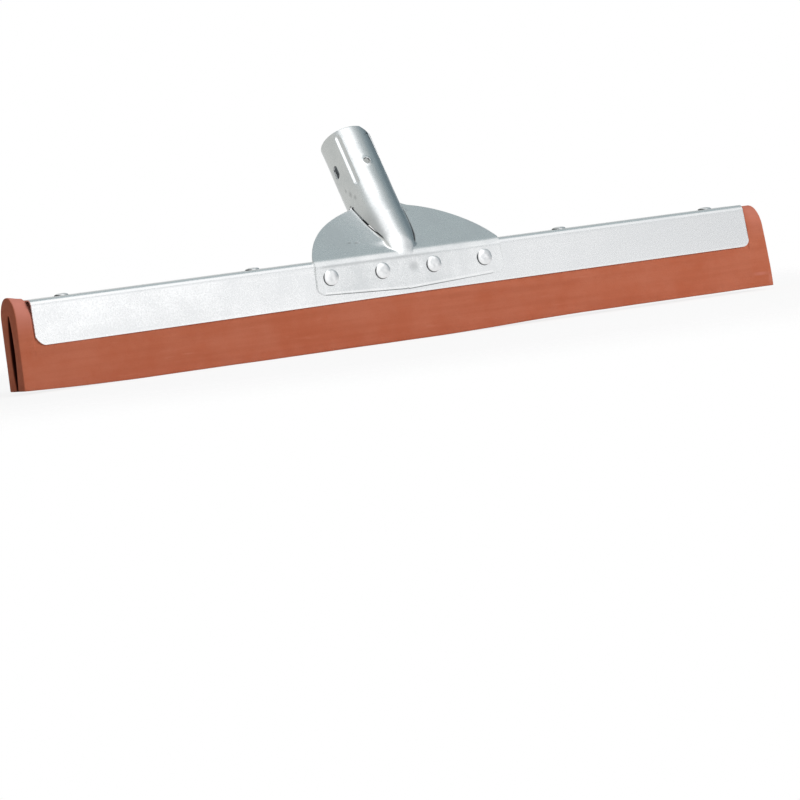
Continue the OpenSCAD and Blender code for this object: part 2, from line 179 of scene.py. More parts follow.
@dataclass
class MeshMaker:
    """Puts patches into one mesh in the part's frame."""

    origin: Vector
    patches: list[Patch] = field(default_factory=list)
    extra_points: list[Array] = field(default_factory=list)
    extra_faces: list[Array] = field(default_factory=list)

    def to_part(self, points: Array) -> Array:
        """Millimetres on the blade's middle plane to metres in the part's frame."""
        return np.asarray(points) * MILLIMETRE + np.array(self.origin)

    def build(self, name: str) -> Piece:
        """Joins the patches, welds their shared borders and makes an object.

        Args:
            name: Name of the piece.

        Returns:
            The new object, linked to the scene.
        """
        points: list[Array] = []
        faces: list[list[int]] = []
        count = 0
        for patch in self.patches:
            points.append(patch.points.reshape(-1, 3))
            faces.extend(patch.faces(count).tolist())
            count += points[-1].shape[0]
        for block, rings in zip(self.extra_points, self.extra_faces):
            points.append(block)
            faces.extend([[v + count for v in ring] for ring in rings])
            count += block.shape[0]
        mesh = bpy.data.meshes.new(name)
        mesh.from_pydata(self.to_part(np.concatenate(points)).tolist(), [], faces)
        shape = bmesh.new()
        shape.from_mesh(mesh)
        bmesh.ops.remove_doubles(shape, verts=shape.verts, dist=2e-6)
        bmesh.ops.dissolve_degenerate(shape, edges=shape.edges, dist=1e-7)
        shape.to_mesh(mesh)
        shape.free()
        piece = bpy.data.objects.new(name, mesh)
        bpy.context.scene.collection.objects.link(piece)
        return piece


def settle(piece: Piece, sharp: float) -> None:
    """Applies a piece's modifiers, smooths its faces and keeps edges over an angle crisp.

    Args:
        piece: Object with live modifiers.
        sharp: Angle in degrees over which an edge stays crisp.
    """
    graph = bpy.context.evaluated_depsgraph_get()
    finished = bpy.data.meshes.new_from_object(piece.evaluated_get(graph))
    finished.name = piece.name
    piece.modifiers.clear()
    piece.data = finished
    finished.shade_smooth()
    finished.set_sharp_from_angle(angle=math.radians(sharp))


def thicken(piece: Piece, thickness: float) -> None:
    """Gives a sheet its thickness inwards.

    Args:
        piece: Sheet whose faces look outwards.
        thickness: Thickness of the sheet.
    """
    solid = piece.modifiers.new("thickness", "SOLIDIFY")
    solid.thickness = thickness * MILLIMETRE
    solid.offset = -1.0


def round_edges(piece: Piece, width: float, angle: float, segments: int = 2) -> None:
    """Rounds the sharp edges of a piece.

    Args:
        piece: Piece to round.
        width: Width of the rounding.
        angle: Angle in degrees over which an edge is sharp.
        segments: Faces across the rounding.
    """
    bevel = piece.modifiers.new("edges", "BEVEL")
    bevel.width = width * MILLIMETRE
    bevel.segments = segments
    bevel.limit_method = "ANGLE"
    bevel.angle_limit = math.radians(angle)
    bevel.use_clamp_overlap = False


def settled_points(piece: Piece, origin: Vector) -> Array:
    """Reads where the vertices of a piece ended up.

    Args:
        piece: Piece with its final mesh.
        origin: Middle plane of the blade in the part's frame.

    Returns:
        Points in millimetres from the blade's middle plane.
    """
    flat = np.empty(len(piece.data.vertices) * 3)
    piece.data.vertices.foreach_get("co", flat)
    return (flat.reshape(-1, 3) - np.array(origin)) / MILLIMETRE


def paint(piece: Piece, name: str, values: Array) -> None:
    """Stores one value a vertex for the finish to read.

    Args:
        piece: Piece with its final mesh.
        name: Name of the values.
        values: One number a vertex.
    """
    layer = piece.data.attributes.new(name, "FLOAT", "POINT")
    layer.data.foreach_set("value", np.asarray(values, dtype=np.float32))


# Finishes


@dataclass
class Nodes:
    """Short way to make and join the nodes of one material or world."""

    tree: bpy.types.NodeTree

    def put(self, value: object, socket: Link) -> None:
        """Joins an output to an input, or sets the input.

        Args:
            value: Output of another node, or a number, a vector or a colour.
            socket: Input that takes it.
        """
        if isinstance(value, Link):
            self.tree.links.new(value, socket)
        else:
            socket.default_value = (*value, 1.0) if socket.type == "RGBA" else value

    def add(self, kind: str, **values: object) -> bpy.types.Node:
        """Makes a node, sets its properties and its inputs.

        Args:
            kind: Node type without the common prefix.
            values: Properties by name, or inputs by their name with spaces as underscores, or by
                their number after an i.

        Returns:
            The new node.
        """
        node = self.tree.nodes.new("ShaderNode" + kind)
        for key, value in values.items():
            if hasattr(node, key):
                setattr(node, key, value)
                continue
            place = key[1:] if key[0] == "i" and key[1:].isdigit() else key.replace("_", " ")
            self.put(value, node.inputs[int(place) if place.isdigit() else place])
        return node

    def math(self, operation: str, first: object, second: object = 0.0) -> Link:
        """One sum on two numbers or sockets."""
        return self.add("Math", operation=operation, i0=first, i1=second).outputs[0]

    def product(self, *shares: Link) -> Link:
        """Multiplies several shares.

        Args:
            shares: Two or more outputs.

        Returns:
            Their product.
        """
        total = shares[0]
        for share in shares[1:]:
            total = self.math("MULTIPLY", total, share)
        return total

    def ramp(self, value: object, low: float, high: float, to_low: float = 0.0,
             to_high: float = 1.0, smooth: bool = True) -> Link:
        """Carries a range of values to another range, eased at both ends if smooth."""
        return self.add("MapRange", interpolation_type="SMOOTHSTEP" if smooth else "LINEAR",
                        i0=value, i1=low, i2=high, i3=to_low, i4=to_high).outputs[0]

    def blend(self, share: object, first: object, second: object) -> Link:
        """Mixes two colours."""
        return self.add("Mix", data_type="RGBA", i0=share, i6=first, i7=second).outputs[2]

    def object_space(self, scale: tuple[float, float, float] = (1.0, 1.0, 1.0),
                     turn: float = 0.0) -> Link:
        """Places on the piece, scaled and turned about X.

        Args:
            scale: Scale of X, Y and Z per millimetre.
            turn: Angle in degrees.

        Returns:
            The piece's own coordinates.
        """
        place = self.add("TexCoord").outputs["Object"]
        return self.add("Mapping", vector_type="POINT", Vector=place,
                        Rotation=(math.radians(turn), 0.0, 0.0),
                        Scale=tuple(s / MILLIMETRE for s in scale)).outputs[0]

    def noise(self, vector: Link, scale: float, detail: float = 3.0,
              roughness: float = 0.5) -> Link:
        """Noise height at a scale per millimetre."""
        return self.add("TexNoise", Vector=vector, Scale=scale, Detail=detail,
                        Roughness=roughness).outputs[0]

    def cells(self, vector: Link, scale: float,
              output: int | str = 0) -> Link:
        """Distance or colour of scattered cells at a scale per millimetre."""
        return self.add("TexVoronoi", Vector=vector, Scale=scale, Randomness=1.0).outputs[output]

    def painted(self, name: str) -> Link:
        """Values that a piece keeps on its vertices."""
        return self.add("Attribute", attribute_name=name).outputs["Fac"]

    def mix_shaders(self, share: object, first: Link,
                    second: Link) -> Link:
        """Mixes two shaders."""
        return self.add("MixShader", i0=share, i1=first, i2=second).outputs[0]

    def relief(self, shader: bpy.types.Node, height: Link, strength: float,
               depth: float) -> None:
        """Gives a shader a fine relief of a depth in millimetres."""
        bumped = self.add("Bump", Strength=strength, Distance=depth * MILLIMETRE, Height=height)
        self.put(bumped.outputs[0], shader.inputs["Normal"])


def new_material(name: str) -> tuple[bpy.types.Material, Nodes, bpy.types.Node]:
    """Makes an empty node material with its main shader.

    Args:
        name: Name of the material.

    Returns:
        The material, its nodes and the shader.
    """
    material = bpy.data.materials.new(name)
    material.use_nodes = True
    nodes = Nodes(material.node_tree)
    material.node_tree.nodes.clear()
    shader = nodes.add("BsdfPrincipled")
    nodes.add("OutputMaterial", Surface=shader.outputs[0])
    return material, nodes, shader


@dataclass(frozen=True)
class ZincFinish:
    """Zinc plating on steel: soft mottle, fine grain, faint scratches one way, and the painted
    shade, painted highlights and real stains that a piece has painted on."""

    name: str
    slot: str
    light: Colour
    dark: Colour
    roughness: float
    mottle: float
    grain: float
    scratch: tuple[float, float, float]
    scratch_share: float
    turn: float = 0.0
    seed: float = 0.0
    relief: float = 0.35
    # Dark colour mixed in for painted shade and real stains, pale colour for painted highlights
    shade_and_grime: Colour = (0.03, 0.035, 0.04)
    painted_highlight: Colour = (0.97, 0.975, 0.98)

    def build(self) -> bpy.types.Material:
        """Makes the material.

        Returns:
            The finished material.
        """
        material, nodes, shader = new_material(self.name)
        moved = nodes.add("VectorMath", operation="ADD", i0=nodes.object_space(),
                          i1=(self.seed,) * 3).outputs[0]
        cloud = nodes.noise(moved, self.mottle, 4.0, 0.6)
        fine = nodes.noise(moved, self.grain, 5.0, 0.72)
        fleck = nodes.add("SeparateColor", i0=nodes.cells(moved, self.grain * 0.8,
                                                          "Color")).outputs[0]
        lines = nodes.noise(nodes.object_space(self.scratch, self.turn), 1.0, 3.0, 0.6)
        scratch = nodes.ramp(lines, 0.56, 0.72, 0.0, self.scratch_share)
        share = nodes.math("ADD", nodes.ramp(cloud, 0.3, 0.7, 0.0, 0.6),
                           nodes.ramp(fine, 0.3, 0.7, -0.12, 0.4))
        share = nodes.math("ADD", share, nodes.ramp(fleck, 0.0, 1.0, -0.12, 0.12, False))
        share = nodes.math("SUBTRACT", share, scratch)
        # Painted value: above 0 it mixes in the dark colour (painted shade, with some real stains),
        # below 0 the pale colour (painted highlight)
        painted_light_and_grime = nodes.painted("painted_light_and_grime")
        shade_and_grime = nodes.ramp(painted_light_and_grime, 0.0, 1.0, smooth=False)
        colour = nodes.blend(shade_and_grime, nodes.blend(share, self.light, self.dark), self.shade_and_grime)
        colour = nodes.blend(nodes.ramp(painted_light_and_grime, 0.0, -1.0, smooth=False), colour, self.painted_highlight)
        nodes.put(colour, shader.inputs["Base Color"])
        shader.inputs["Metallic"].default_value = 1.0
        rough = nodes.math("ADD", nodes.ramp(fine, 0.25, 0.75, self.roughness - 0.06,
                                             self.roughness + 0.08),
                           nodes.ramp(cloud, 0.3, 0.7, -0.03, 0.05))
        rough = nodes.math("SUBTRACT", rough, nodes.math("MULTIPLY", scratch, 0.1))
        rough = nodes.math("ADD", rough, nodes.math("MULTIPLY", shade_and_grime, 0.3))
        nodes.put(rough, shader.inputs["Roughness"])
        height = nodes.math("ADD", fine, nodes.math("MULTIPLY", lines, 0.6))
        nodes.relief(shader, height, self.relief, 0.03)
        return material


@dataclass(frozen=True)
class RubberFinish:
    """Terracotta cellular rubber: matt, finely porous, with scuffs, and with the dust and the
    painted shade in the gap that the blade has painted on."""

    name: str
    slot: str
    body: Colour
    pale: Colour
    deep: Colour
    dust: Colour
    shade: Colour

    def build(self) -> bpy.types.Material:
        """Makes the material.

        Returns:
            The finished material.
        """
        material, nodes, shader = new_material(self.name)
        place = nodes.object_space()
        cloud = nodes.noise(place, 0.045, 4.0, 0.6)
        fine = nodes.noise(place, 1.3, 5.0, 0.7)
        streak = nodes.noise(nodes.object_space((0.012, 0.35, 0.35)), 1.0, 3.0, 0.55)
        scuff = nodes.noise(nodes.object_space((0.05, 0.3, 0.5)), 1.0, 5.0, 0.65)
        pore = nodes.ramp(nodes.cells(place, 1.15), 0.05, 0.3, 1.0, 0.0)
        hole = nodes.ramp(nodes.cells(place, 0.06), 0.015, 0.045, 1.0, 0.0)
        colour = self.body
        for share, tone in (
            (nodes.ramp(cloud, 0.3, 0.7, 0.0, 0.45), self.pale),
            (nodes.ramp(streak, 0.35, 0.75, 0.0, 0.22), self.deep),
            (nodes.ramp(fine, 0.45, 0.85, 0.0, 0.35), self.deep),
            (nodes.ramp(scuff, 0.6, 0.78, 0.0, 0.5), self.pale),
            (nodes.math("MULTIPLY", pore, 0.22), self.deep),
            (nodes.math("MULTIPLY", hole, 0.55), tuple(c * 0.55 for c in self.deep)),
            (nodes.painted("dust"), self.dust),
            (nodes.painted("shade"), self.shade),
        ):
            colour = nodes.blend(share, colour, tone)
        nodes.put(colour, shader.inputs["Base Color"])
        nodes.put(nodes.ramp(cloud, 0.3, 0.7, 0.8, 0.92), shader.inputs["Roughness"])
        shader.inputs["Specular IOR Level"].default_value = 0.1
        height = nodes.math("SUBTRACT", fine, nodes.math("MULTIPLY", pore, 0.5))
        height = nodes.math("SUBTRACT", height, nodes.math("MULTIPLY", hole, 0.8))
        nodes.relief(shader, height, 0.5, 0.12)
        return material


class Finish(Enum):
    """Finishes of this head."""

    CHANNEL = ZincFinish(
        "channel_plating", "channel_zinc", light=(0.925, 0.93, 0.935), dark=(0.86, 0.87, 0.88),
        roughness=0.26, mottle=0.03, grain=1.1, scratch=(0.01, 0.5, 1.1), scratch_share=0.4,
        relief=0.2)
    SOCKET = ZincFinish(
        "socket_plating", "socket_zinc", light=(0.86, 0.87, 0.875), dark=(0.72, 0.74, 0.75),
        roughness=0.27, mottle=0.06, grain=1.5, scratch=(0.25, 1.2, 0.03), scratch_share=0.3,
        turn=-35.6, seed=7.0)
    RIVET = ZincFinish(
        "rivet_plating", "rivet_zinc", light=(0.93, 0.935, 0.94), dark=(0.8, 0.81, 0.82),
        roughness=0.36, mottle=0.4, grain=2.2, scratch=(0.4, 0.4, 0.4), scratch_share=0.2,
        seed=13.0)
    BURR = ZincFinish(
        "burr_plating", "burr_zinc", light=(0.84, 0.85, 0.86), dark=(0.66, 0.68, 0.7),
        roughness=0.42, mottle=0.4, grain=2.2, scratch=(0.4, 0.4, 0.4), scratch_share=0.2,
        seed=21.0)
    RUBBER = RubberFinish(
        "blade_rubber", "cellular_rubber", body=(0.445, 0.122, 0.062), pale=(0.52, 0.185, 0.115),
        deep=(0.33, 0.078, 0.036), dust=(0.6, 0.235, 0.185), shade=(0.03, 0.003, 0.0015))


# Pieces


@dataclass(frozen=True)
class Head:
    """Sizes that the pieces share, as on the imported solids."""

    blade_length: float = 450.0
    channel_left: float = -216.0
    channel_right: float = 212.0
    channel_foot: float = 25.0
    channel_face: float = 11.0
    channel_top: float = 48.2
    channel_bend: float = 3.0
    channel_sheet: float = 1.0
    socket_x: float = 1.3
    socket_sheet: float = 1.2


@dataclass
class Channel:
    """Inverted U of zinc-plated sheet that grips the blade."""

    head: Head
    maker: MeshMaker
    left_corner: float = 5.2
    right_corner: float = 4.0
    tilt: float = 0.65
    stations: int = 230
    wall_wave: float = 0.05
    top_wave: float = 0.04
    right_foot: float = 0.5
    right_lean: float = 1.6
    left_lean: float = 0.6

    def section(self, foot: Array) -> Array:
        """Outside of the section: up the front wall, a quarter turn, over the top, down the back.

        Args:
            foot: Height of both walls' lower edge at each station.

        Returns:
            Points of Y and Z, stations by steps.
        """
        head = self.head
        bend_y = head.channel_face - head.channel_bend
        bend_z = head.channel_top - head.channel_bend
        up = np.linspace(0.0, 1.0, 22) ** 1.4
        turn = np.radians(np.linspace(0.0, 90.0, 11))[1:]
        wall_z = mix(foot[:, None], bend_z, up)
        wall_y = np.full_like(wall_z, -head.channel_face)
        arc_y = np.broadcast_to(-bend_y - head.channel_bend * np.cos(turn), (len(foot), 10))
        arc_z = np.broadcast_to(bend_z + head.channel_bend * np.sin(turn), (len(foot), 10))
        flat_y = np.broadcast_to(np.linspace(-bend_y, bend_y, 14)[1:-1], (len(foot), 12))
        flat_z = np.full_like(flat_y, head.channel_top)
        front = np.stack([np.hstack([wall_y, arc_y]), np.hstack([wall_z, arc_z])], -1)
        return np.concatenate([front, np.stack([flat_y, flat_z], -1), mirrored(front)], axis=1)

    def corner(self, inside: Array, size: float, roundness: float) -> Array:
        """Rise of the lower edge near an end: a round corner, or flatter for less roundness."""
        out = unit(1.0 - inside / size)
        return size * (1.0 - (1.0 - out ** roundness) ** (1.0 / roundness))

    def foot(self, x: Array) -> Array:
        """Height of the lower edge: level to the right, eased down to the left, plus the rise of
        the corner at either end.

        Args:
            x: Stations.

        Returns:
            One height a station.
        """
        head = self.head
        return (head.channel_foot - self.tilt * smooth_step(40.0, -120.0, x)
                - 0.5 * self.tilt * smooth_step(-60.0, -200.0, x)
                + self.corner(x - head.channel_left, self.left_corner, 1.5)
                + self.corner(head.channel_right - x, self.right_corner, 2.0))

    def skew(self, x: Array, z: Array) -> Array:
        """Shift along X near the ends: an ease towards the end times a share of the height.

        The right end leans in from its foot to its top, and the left end's foot is set in.

        Args:
            x: Places along the channel.
            z: Heights over the floor.

        Returns:
            Shifts along X.
        """
        height = unit((z - 27.0) / 20.0)
        right = smooth_step(195.0, self.head.channel_right, x)
        left = smooth_step(-200.0, self.head.channel_left, x)
        return ((self.right_foot - self.right_lean * height) * right
                + self.left_lean * (1.0 - height) * left)

    def build(self) -> Piece:
        """Sweeps the section along X with round lower corners and a faint waviness.

        Returns:
            The channel.
        """
        head = self.head
        quarter = 1.0 - np.sin(np.radians(np.linspace(0.0, 90.0, 12))[1:])[::-1]
        middle = np.linspace(head.channel_left + self.left_corner,
                             head.channel_right - self.right_corner, self.stations)
        x = np.concatenate([head.channel_left + self.left_corner * quarter, middle,
                            head.channel_right - self.right_corner * quarter[::-1]])
        foot = self.foot(x)
        points = swept(x, self.section(foot))
        across, y, z = np.moveaxis(points.copy(), -1, 0)
        low = smooth_step(44.0, 26.0, z)
        wall_wave = self.wall_wave * waviness(across, z * 2.0, (45.0, 160.0), 3) * low
        top_wave = self.top_wave * waviness(across, y, (50.0, 120.0), 4) - self.top_wave
        points[..., 0] += self.skew(across, z)
        points[..., 1] += wall_wave * (np.abs(y) > head.channel_face - 0.01)
        points[..., 2] += top_wave * (np.abs(y) < head.channel_face - head.channel_bend)
        self.maker.patches = [Patch(points[:, ::-1])]
        piece = self.maker.build("channel_sheet")
        thicken(piece, head.channel_sheet)
        round_edges(piece, 0.22, 50.0)
        settle(piece, 40.0)
        place = settled_points(piece, self.maker.origin)
        over = place[:, 2] - np.interp(place[:, 0], x, foot)
        # Painted highlight: a pale band on both walls just above their lower edge
        paint(piece, "painted_light_and_grime", -0.9 * bump(over - 0.5, 0.8) * (np.abs(place[:, 1]) > 10.8))
        return piece


@dataclass
class Blade:
    """Strip of cellular rubber folded lengthwise, whose free ends swell beside the channel."""

    head: Head
    maker: MeshMaker
    half_gripped: float = 9.95
    half_free: float = 10.45
    top_gripped: float = 47.15
    top_left: float = 49.3
    top_left_end: float = 50.6
    top_right: float = 47.3
    arch_gripped: float = 9.95
    arch_free: float = 11.8
    gap_top: float = 41.3
    gap_foot_half: float = 1.15
    bow: float = 1.6
    end_lean: float = 3.8
    side_steps: int = 40
    arch_steps: int = 17
    # Scuffs near the right end: X, Z, half width, half height and strength.
    scuffs: tuple[tuple[float, ...], ...] = (
        (217.5, 9.0, 7.0, 1.2, 0.5), (223.0, 5.0, 1.2, 6.0, 0.45), (221.0, 1.2, 8.0, 0.9, 0.4))

    def gap_half(self, z: Array, widest: float, height: float) -> Array:
        """Half of the gap between the lips: a quarter wave out, then near the root of a quarter
        wave in to a blunt top.

        Args:
            z: Heights over the foot.
            widest: Half of the gap where it is widest.
            height: Height of that place.

        Returns:
            Half widths.
        """
        rise = mix(self.gap_foot_half, widest, np.sin(0.5 * math.pi * unit(z / height)))
        wave = np.cos(0.5 * math.pi * unit((z - height) / (self.gap_top - height)))
        return np.where(z < height, rise, widest * unit(wave) ** 0.45)

    def foot_rise(self, x: Array) -> Array:
        """Height of the worn foot over the floor: a parabola up to the left, an ease up to the
        right and a faint waviness, so that only the middle stands on the floor.

        Args:
            x: Stations.

        Returns:
            One height a station.
        """
        left = self.bow * unit((-150.0 - x) / 75.0) ** 2
        right = self.bow * smooth_step(10.0, 112.0, x)
        return left + right + 0.07 * (1.0 + waviness(x, 0 * x, (25.0, 140.0), 13))

    def stations(self) -> Array:
        """Spreads the stations, close together where the channel's ends let the blade swell.

        Returns:
            Places along X, in order.
        """
        head, half = self.head, self.head.blade_length / 2
        step = np.linspace(0.0, 1.0, 9)
        return np.unique(np.round(np.concatenate([
            mix(-half, head.channel_left - 1.3, step),
            head.channel_left + np.linspace(-1.3, 0.1, 8),
            np.linspace(head.channel_left + 0.6, head.channel_right - 0.6, 176),
            head.channel_right + np.linspace(-0.1, 1.3, 8),
            mix(half, head.channel_right + 1.3, step)]), 4))

    def outside(self, x: Array) -> Array:
        """Outside of the section: up the front, over the arch and down the back.

        The channel grips its upper part. Below the channel it bulges, and past the channel's
        ends it swells and stands higher.

        Args:
            x: Stations.

        Returns:
            Points of Y and Z, stations by steps.
        """
        head = self.head
        free_left = smooth_step(head.channel_left + 0.05, head.channel_left - 0.7, x)[:, None]
        free_right = smooth_step(head.channel_right - 0.05, head.channel_right + 0.7, x)[:, None]
        free = np.maximum(free_left, free_right)
        end = smooth_step(head.channel_left - 0.5, -head.blade_length / 2, x)[:, None]
        top = (mix(self.top_gripped, self.top_left, free_left)
               + (self.top_left_end - self.top_left) * end
               + (self.top_right - self.top_gripped) * free_right)
        arch = mix(self.arch_gripped, self.arch_free, free)
        rise = np.linspace(0.0, 1.0, self.side_steps + 1)[:-1] ** 0.9
        side_z = (top - arch) * rise
        turn = np.radians(np.linspace(0.0, 90.0, self.arch_steps))
        grip = smooth_step(head.channel_foot - 3.6, head.channel_foot - 0.6, side_z)
        bulge = 0.25 * bump(side_z - (head.channel_foot - 4.0), 4.0)
        half_side = mix(mix(self.half_free + bulge, self.half_gripped, grip), self.half_free, free)
        half_arch = mix(self.half_gripped, self.half_free, free)
        front = np.stack([
            np.hstack([-half_side, -half_arch * np.cos(turn)]),
            np.hstack([side_z, top - arch + arch * np.sin(turn)])], -1)
        return np.concatenate([front, mirrored(front[:, :-1])], axis=1)

    def gap(self, x: Array, steps: int) -> Array:
        """Section of the gap between the lips, which opens wider at the free ends.

        Args:
            x: Stations.
            steps: Number of points, as many as the outside has.

        Returns:
            Points of Y and Z, stations by steps.
        """
        share = np.linspace(0.0, 1.0, (steps + 1) // 2)
        z = np.broadcast_to(self.gap_top * np.sin(0.5 * math.pi * share), (len(x), len(share)))
        half = self.head.blade_length / 2
        open_end = smooth_step(half - 30.0, half - 4.0, np.abs(x))[:, None]
        half_gap = mix(self.gap_half(z, 1.9, 16.0), self.gap_half(z, 3.1, 21.0), open_end)
        lip = np.stack([-half_gap, z], -1)
        lip[:, -1, 0] = 0.0
        return np.concatenate([lip, mirrored(lip[:, :-1])], axis=1)

    def used(self, x: Array, section: Array, wave: float, seed: int) -> Array:
        """Sweeps a section and shapes it by use: wavy lips, a worn foot, a leaning right end.

        Args:
            x: Stations.
            section: Points of Y and Z at each station.
            wave: Height of the waves on the loose part of the lips.
            seed: Seed of the waves.

        Returns:
            Points of X, Y and Z.
        """
        sheet = swept(x, section)
        across, _, height = np.moveaxis(sheet.copy(), -1, 0)
        loose = smooth_step(22.0, 12.0, height)
        lean = smooth_step(self.head.channel_right + 1.5, self.head.blade_length / 2, x)[:, None]
        sheet[..., 0] -= self.end_lean * lean * (height / self.top_right) ** 1.5
        sheet[..., 1] += wave * loose * waviness(across, height, (18.0, 120.0), seed)
        sheet[..., 2] += self.foot_rise(x)[:, None] * unit(1.0 - height / 24.0)
        return sheet

    def paint_dust_and_gap_shade(self, piece: Piece) -> None:
        """Darkens the gap behind the cut ends with painted shade, and paints the dust on the
        swollen ends and the scuffs.

        Args:
            piece: The finished blade.
        """
        x, y, z = settled_points(piece, self.maker.origin).T
        past = self.head.blade_length / 2 - np.abs(x)
        inside = (np.abs(y) < 4.4) & (z < self.gap_top + 1.0)
        # Painted shade on the walls of the gap, dark from just inside each cut end
        paint(piece, "shade", smooth_step(0.05, 0.7, past) * inside)
        swell = np.where(x < 0.0, 0.85, 0.45) * smooth_step(14.0, 8.0, past)
        dust = swell * smooth_step(26.0, 48.0, z) * smooth_step(0.2, 0.6, past)
        for scuff_x, scuff_z, wide, high, share in self.scuffs:
            dust += share * spot((x - scuff_x) / wide, (z - scuff_z) / high, 1.0)
        paint(piece, "dust", np.clip(dust, 0.0, 0.85) * (1 - inside))

    def build(self) -> Piece:
        """Sweeps the hairpin along X: its outside, its gap, two feet and two ends.

        Returns:
            The blade.
        """
        x = self.stations()
        outside = self.outside(x)
        skin = self.used(x, outside, 0.16, 11)
        core = self.used(x, self.gap(x, outside.shape[1]), 0.2, 12)
        borders = (np.stack([core[:, 0], skin[:, 0]], 1), np.stack([skin[:, -1], core[:, -1]], 1),
                   np.stack([skin[0], core[0]]), np.stack([core[-1], skin[-1]]))
        self.maker.patches = [Patch(skin[:, ::-1]), Patch(core)]
        self.maker.patches += [Patch(border[:, ::-1]) for border in borders]
        piece = self.maker.build("folded_rubber")
        face_outwards(piece.data)
        round_edges(piece, 0.45, 55.0)
        settle(piece, 50.0)
        self.paint_dust_and_gap_shade(piece)
        return piece


@dataclass
class Socket:
    """One stamping: riveted flange, two wings with slits, and a hood that rolls into the tube.

    The sheet is a height v ahead of the tube's axis over x, across, and s, along the axis. It
    goes up the flange, round the fold and along the wings, and the tube's own circle stands
    out of it in the middle.
    """

    head: Head
    maker: MeshMaker
    lean: float = 35.6
    wing_lean: float = 50.0
    foot: float = 45.6
    radius: float = 14.0
    taper: float = 0.1
    rim: float = 79.0
    back_start: float = 31.3
    left_half: float = 54.5
    right_half: float = 56.4
    splay: float = 1.1
    wing_height: float = 38.4
    side_x: float = 47.0
    fold_radius: float = 6.5
    left_flare: float = 4.5
    right_flare: float = 10.0
    flange_foot: float = 27.2
    flange_rise: float = 2.6
    flange_corner: float = 5.0
    left_slit: float = 0.4
    right_slit: float = 1.0
    seam_gap: float = 1.0
    left_start: float = 3.0
    right_start: float = -0.8
    slit_top: float = 34.0
    root_lean: float = 8.0
    seam_low: float = 56.0
    seam_high: float = 45.0
    seam_step: float = 2.6
    screw_s: float = 55.0
    screw_size: float = 4.0
    nail_s: float = 58.0
    nail_angle: float = -83.0
    nail_length: float = 8.0
    nail_width: float = 4.2
    groove_s: float = 59.5
    groove_half: float = 15.0
    groove_angle: float = -42.0
    drawn: float = 1.3
    blend_reach: float = 1.2
    hood_columns: int = 112
    back_columns: int = 96
    wing_rows: int = 56
    shared_rows_s: float = 22.0
    plate_columns: int = 62
    flange_rows: int = 30
    # Marks: a dent and two pits at x and s, stains at an angle and s with a size, a nick at x.
    push: tuple[float, float] = (4.5, -12.2)
    pits: tuple[tuple[float, float], ...] = ((-24.0, 6.3), (-28.0, 6.9))
    stains: tuple[tuple[float, ...], ...] = ((-1.2, 40.0, 1.6), (-1.05, 36.5, 1.3),
                                             (-1.35, 44.0, 1.1))
    nick: float = -1.5

    def __post_init__(self) -> None:
        """Works out where the sheet's straight and round stretches meet."""
        head = self.head
        self.sine, self.cosine = (part(math.radians(self.lean)) for part in (math.sin, math.cos))
        wider = self.fold_radius - head.channel_bend - head.socket_sheet
        self.bend_y = -(head.channel_face - head.channel_bend) + wider
        self.bend_z = (head.channel_top - head.channel_bend
                       - wider * math.tan(math.radians(self.wing_lean) / 2))
        self.arc_length = self.fold_radius * math.radians(self.wing_lean)
        self.fold_s, fold_v = (float(part) for part in self.base(np.array(0.0)))
        self.wing_slope = math.tan(math.radians(self.wing_lean - self.lean))
        self.crossing = self.fold_s + fold_v / self.wing_slope
        angle = math.radians(self.root_lean)
        root = self.axis_frame(np.array(self.bend_y - self.fold_radius * math.cos(angle)),
                               np.array(self.bend_z + self.fold_radius * math.sin(angle)))
        self.root_s, self.root_v = float(root[0]), float(root[1])
        self.root_slope = math.tan(math.radians(self.lean - self.root_lean))
        self.plane_scale = math.cos(math.radians(self.wing_lean - self.lean))
        self.bedding = head.socket_sheet * 0.55

    def reach(self, side: float) -> float:
        """Half width of the plate to one side: -1 is left and 1 is right."""
        return self.left_half if side < 0 else self.right_half

    def arc(self, side: float) -> tuple[float, float]:
        """Radius and centre of a wing's round outline."""
        radius = (self.reach(side) ** 2 + self.wing_height ** 2) / (2 * self.wing_height)
        return radius, self.wing_height - radius

    def axis_frame(self, y: Array, z: Array) -> tuple[Array, Array]:
        """Y and Z to s along the tube's axis and v ahead of it."""
        rise = z - self.foot
        return y * self.sine + rise * self.cosine, -y * self.cosine + rise * self.sine

    def sway(self, s: Array) -> Array:
        """How far the rolled tube stands aside of its root: most where the slits end."""
        return 0.5 * smooth_step(36.0, self.rim, s) - 0.7 * smooth_step(-2.0, 30.0, s)

    def place(self, x: Array, s: Array, v: Array) -> Array:
        """Turns x, s and v back by the lean of the tube's axis, with the sway added to x.

        Args:
            x: Distances across from the middle.
            s: Distances along the axis.
            v: Distances ahead of the axis.

        Returns:
            Points of X, Y and Z.
        """
        x, s, v = np.broadcast_arrays(x, s, v)
        return np.stack([x + self.head.socket_x + self.sway(s), s * self.sine - v * self.cosine,
                         self.foot + s * self.cosine + v * self.sine], -1)

    def base(self, t: Array) -> tuple[Array, Array]:
        """Outer face of the bent sheet at a distance t along it from the fold's upper end.

        Below the arc the sheet stands upright, and above it the sheet leans with the wings.

        Args:
            t: Distances, negative down the arc and the flange.

        Returns:
            s and v of the points.
        """
        lean = math.radians(self.wing_lean)
        turn = np.clip((t + self.arc_length) / self.fold_radius, 0.0, lean)
        up = np.maximum(t, 0.0)
        down = np.minimum(t + self.arc_length, 0.0)
        y = self.bend_y - self.fold_radius * np.cos(turn) + up * math.sin(lean)
        z = self.bend_z + self.fold_radius * np.sin(turn) + up * math.cos(lean) + down
        return self.axis_frame(y, z)

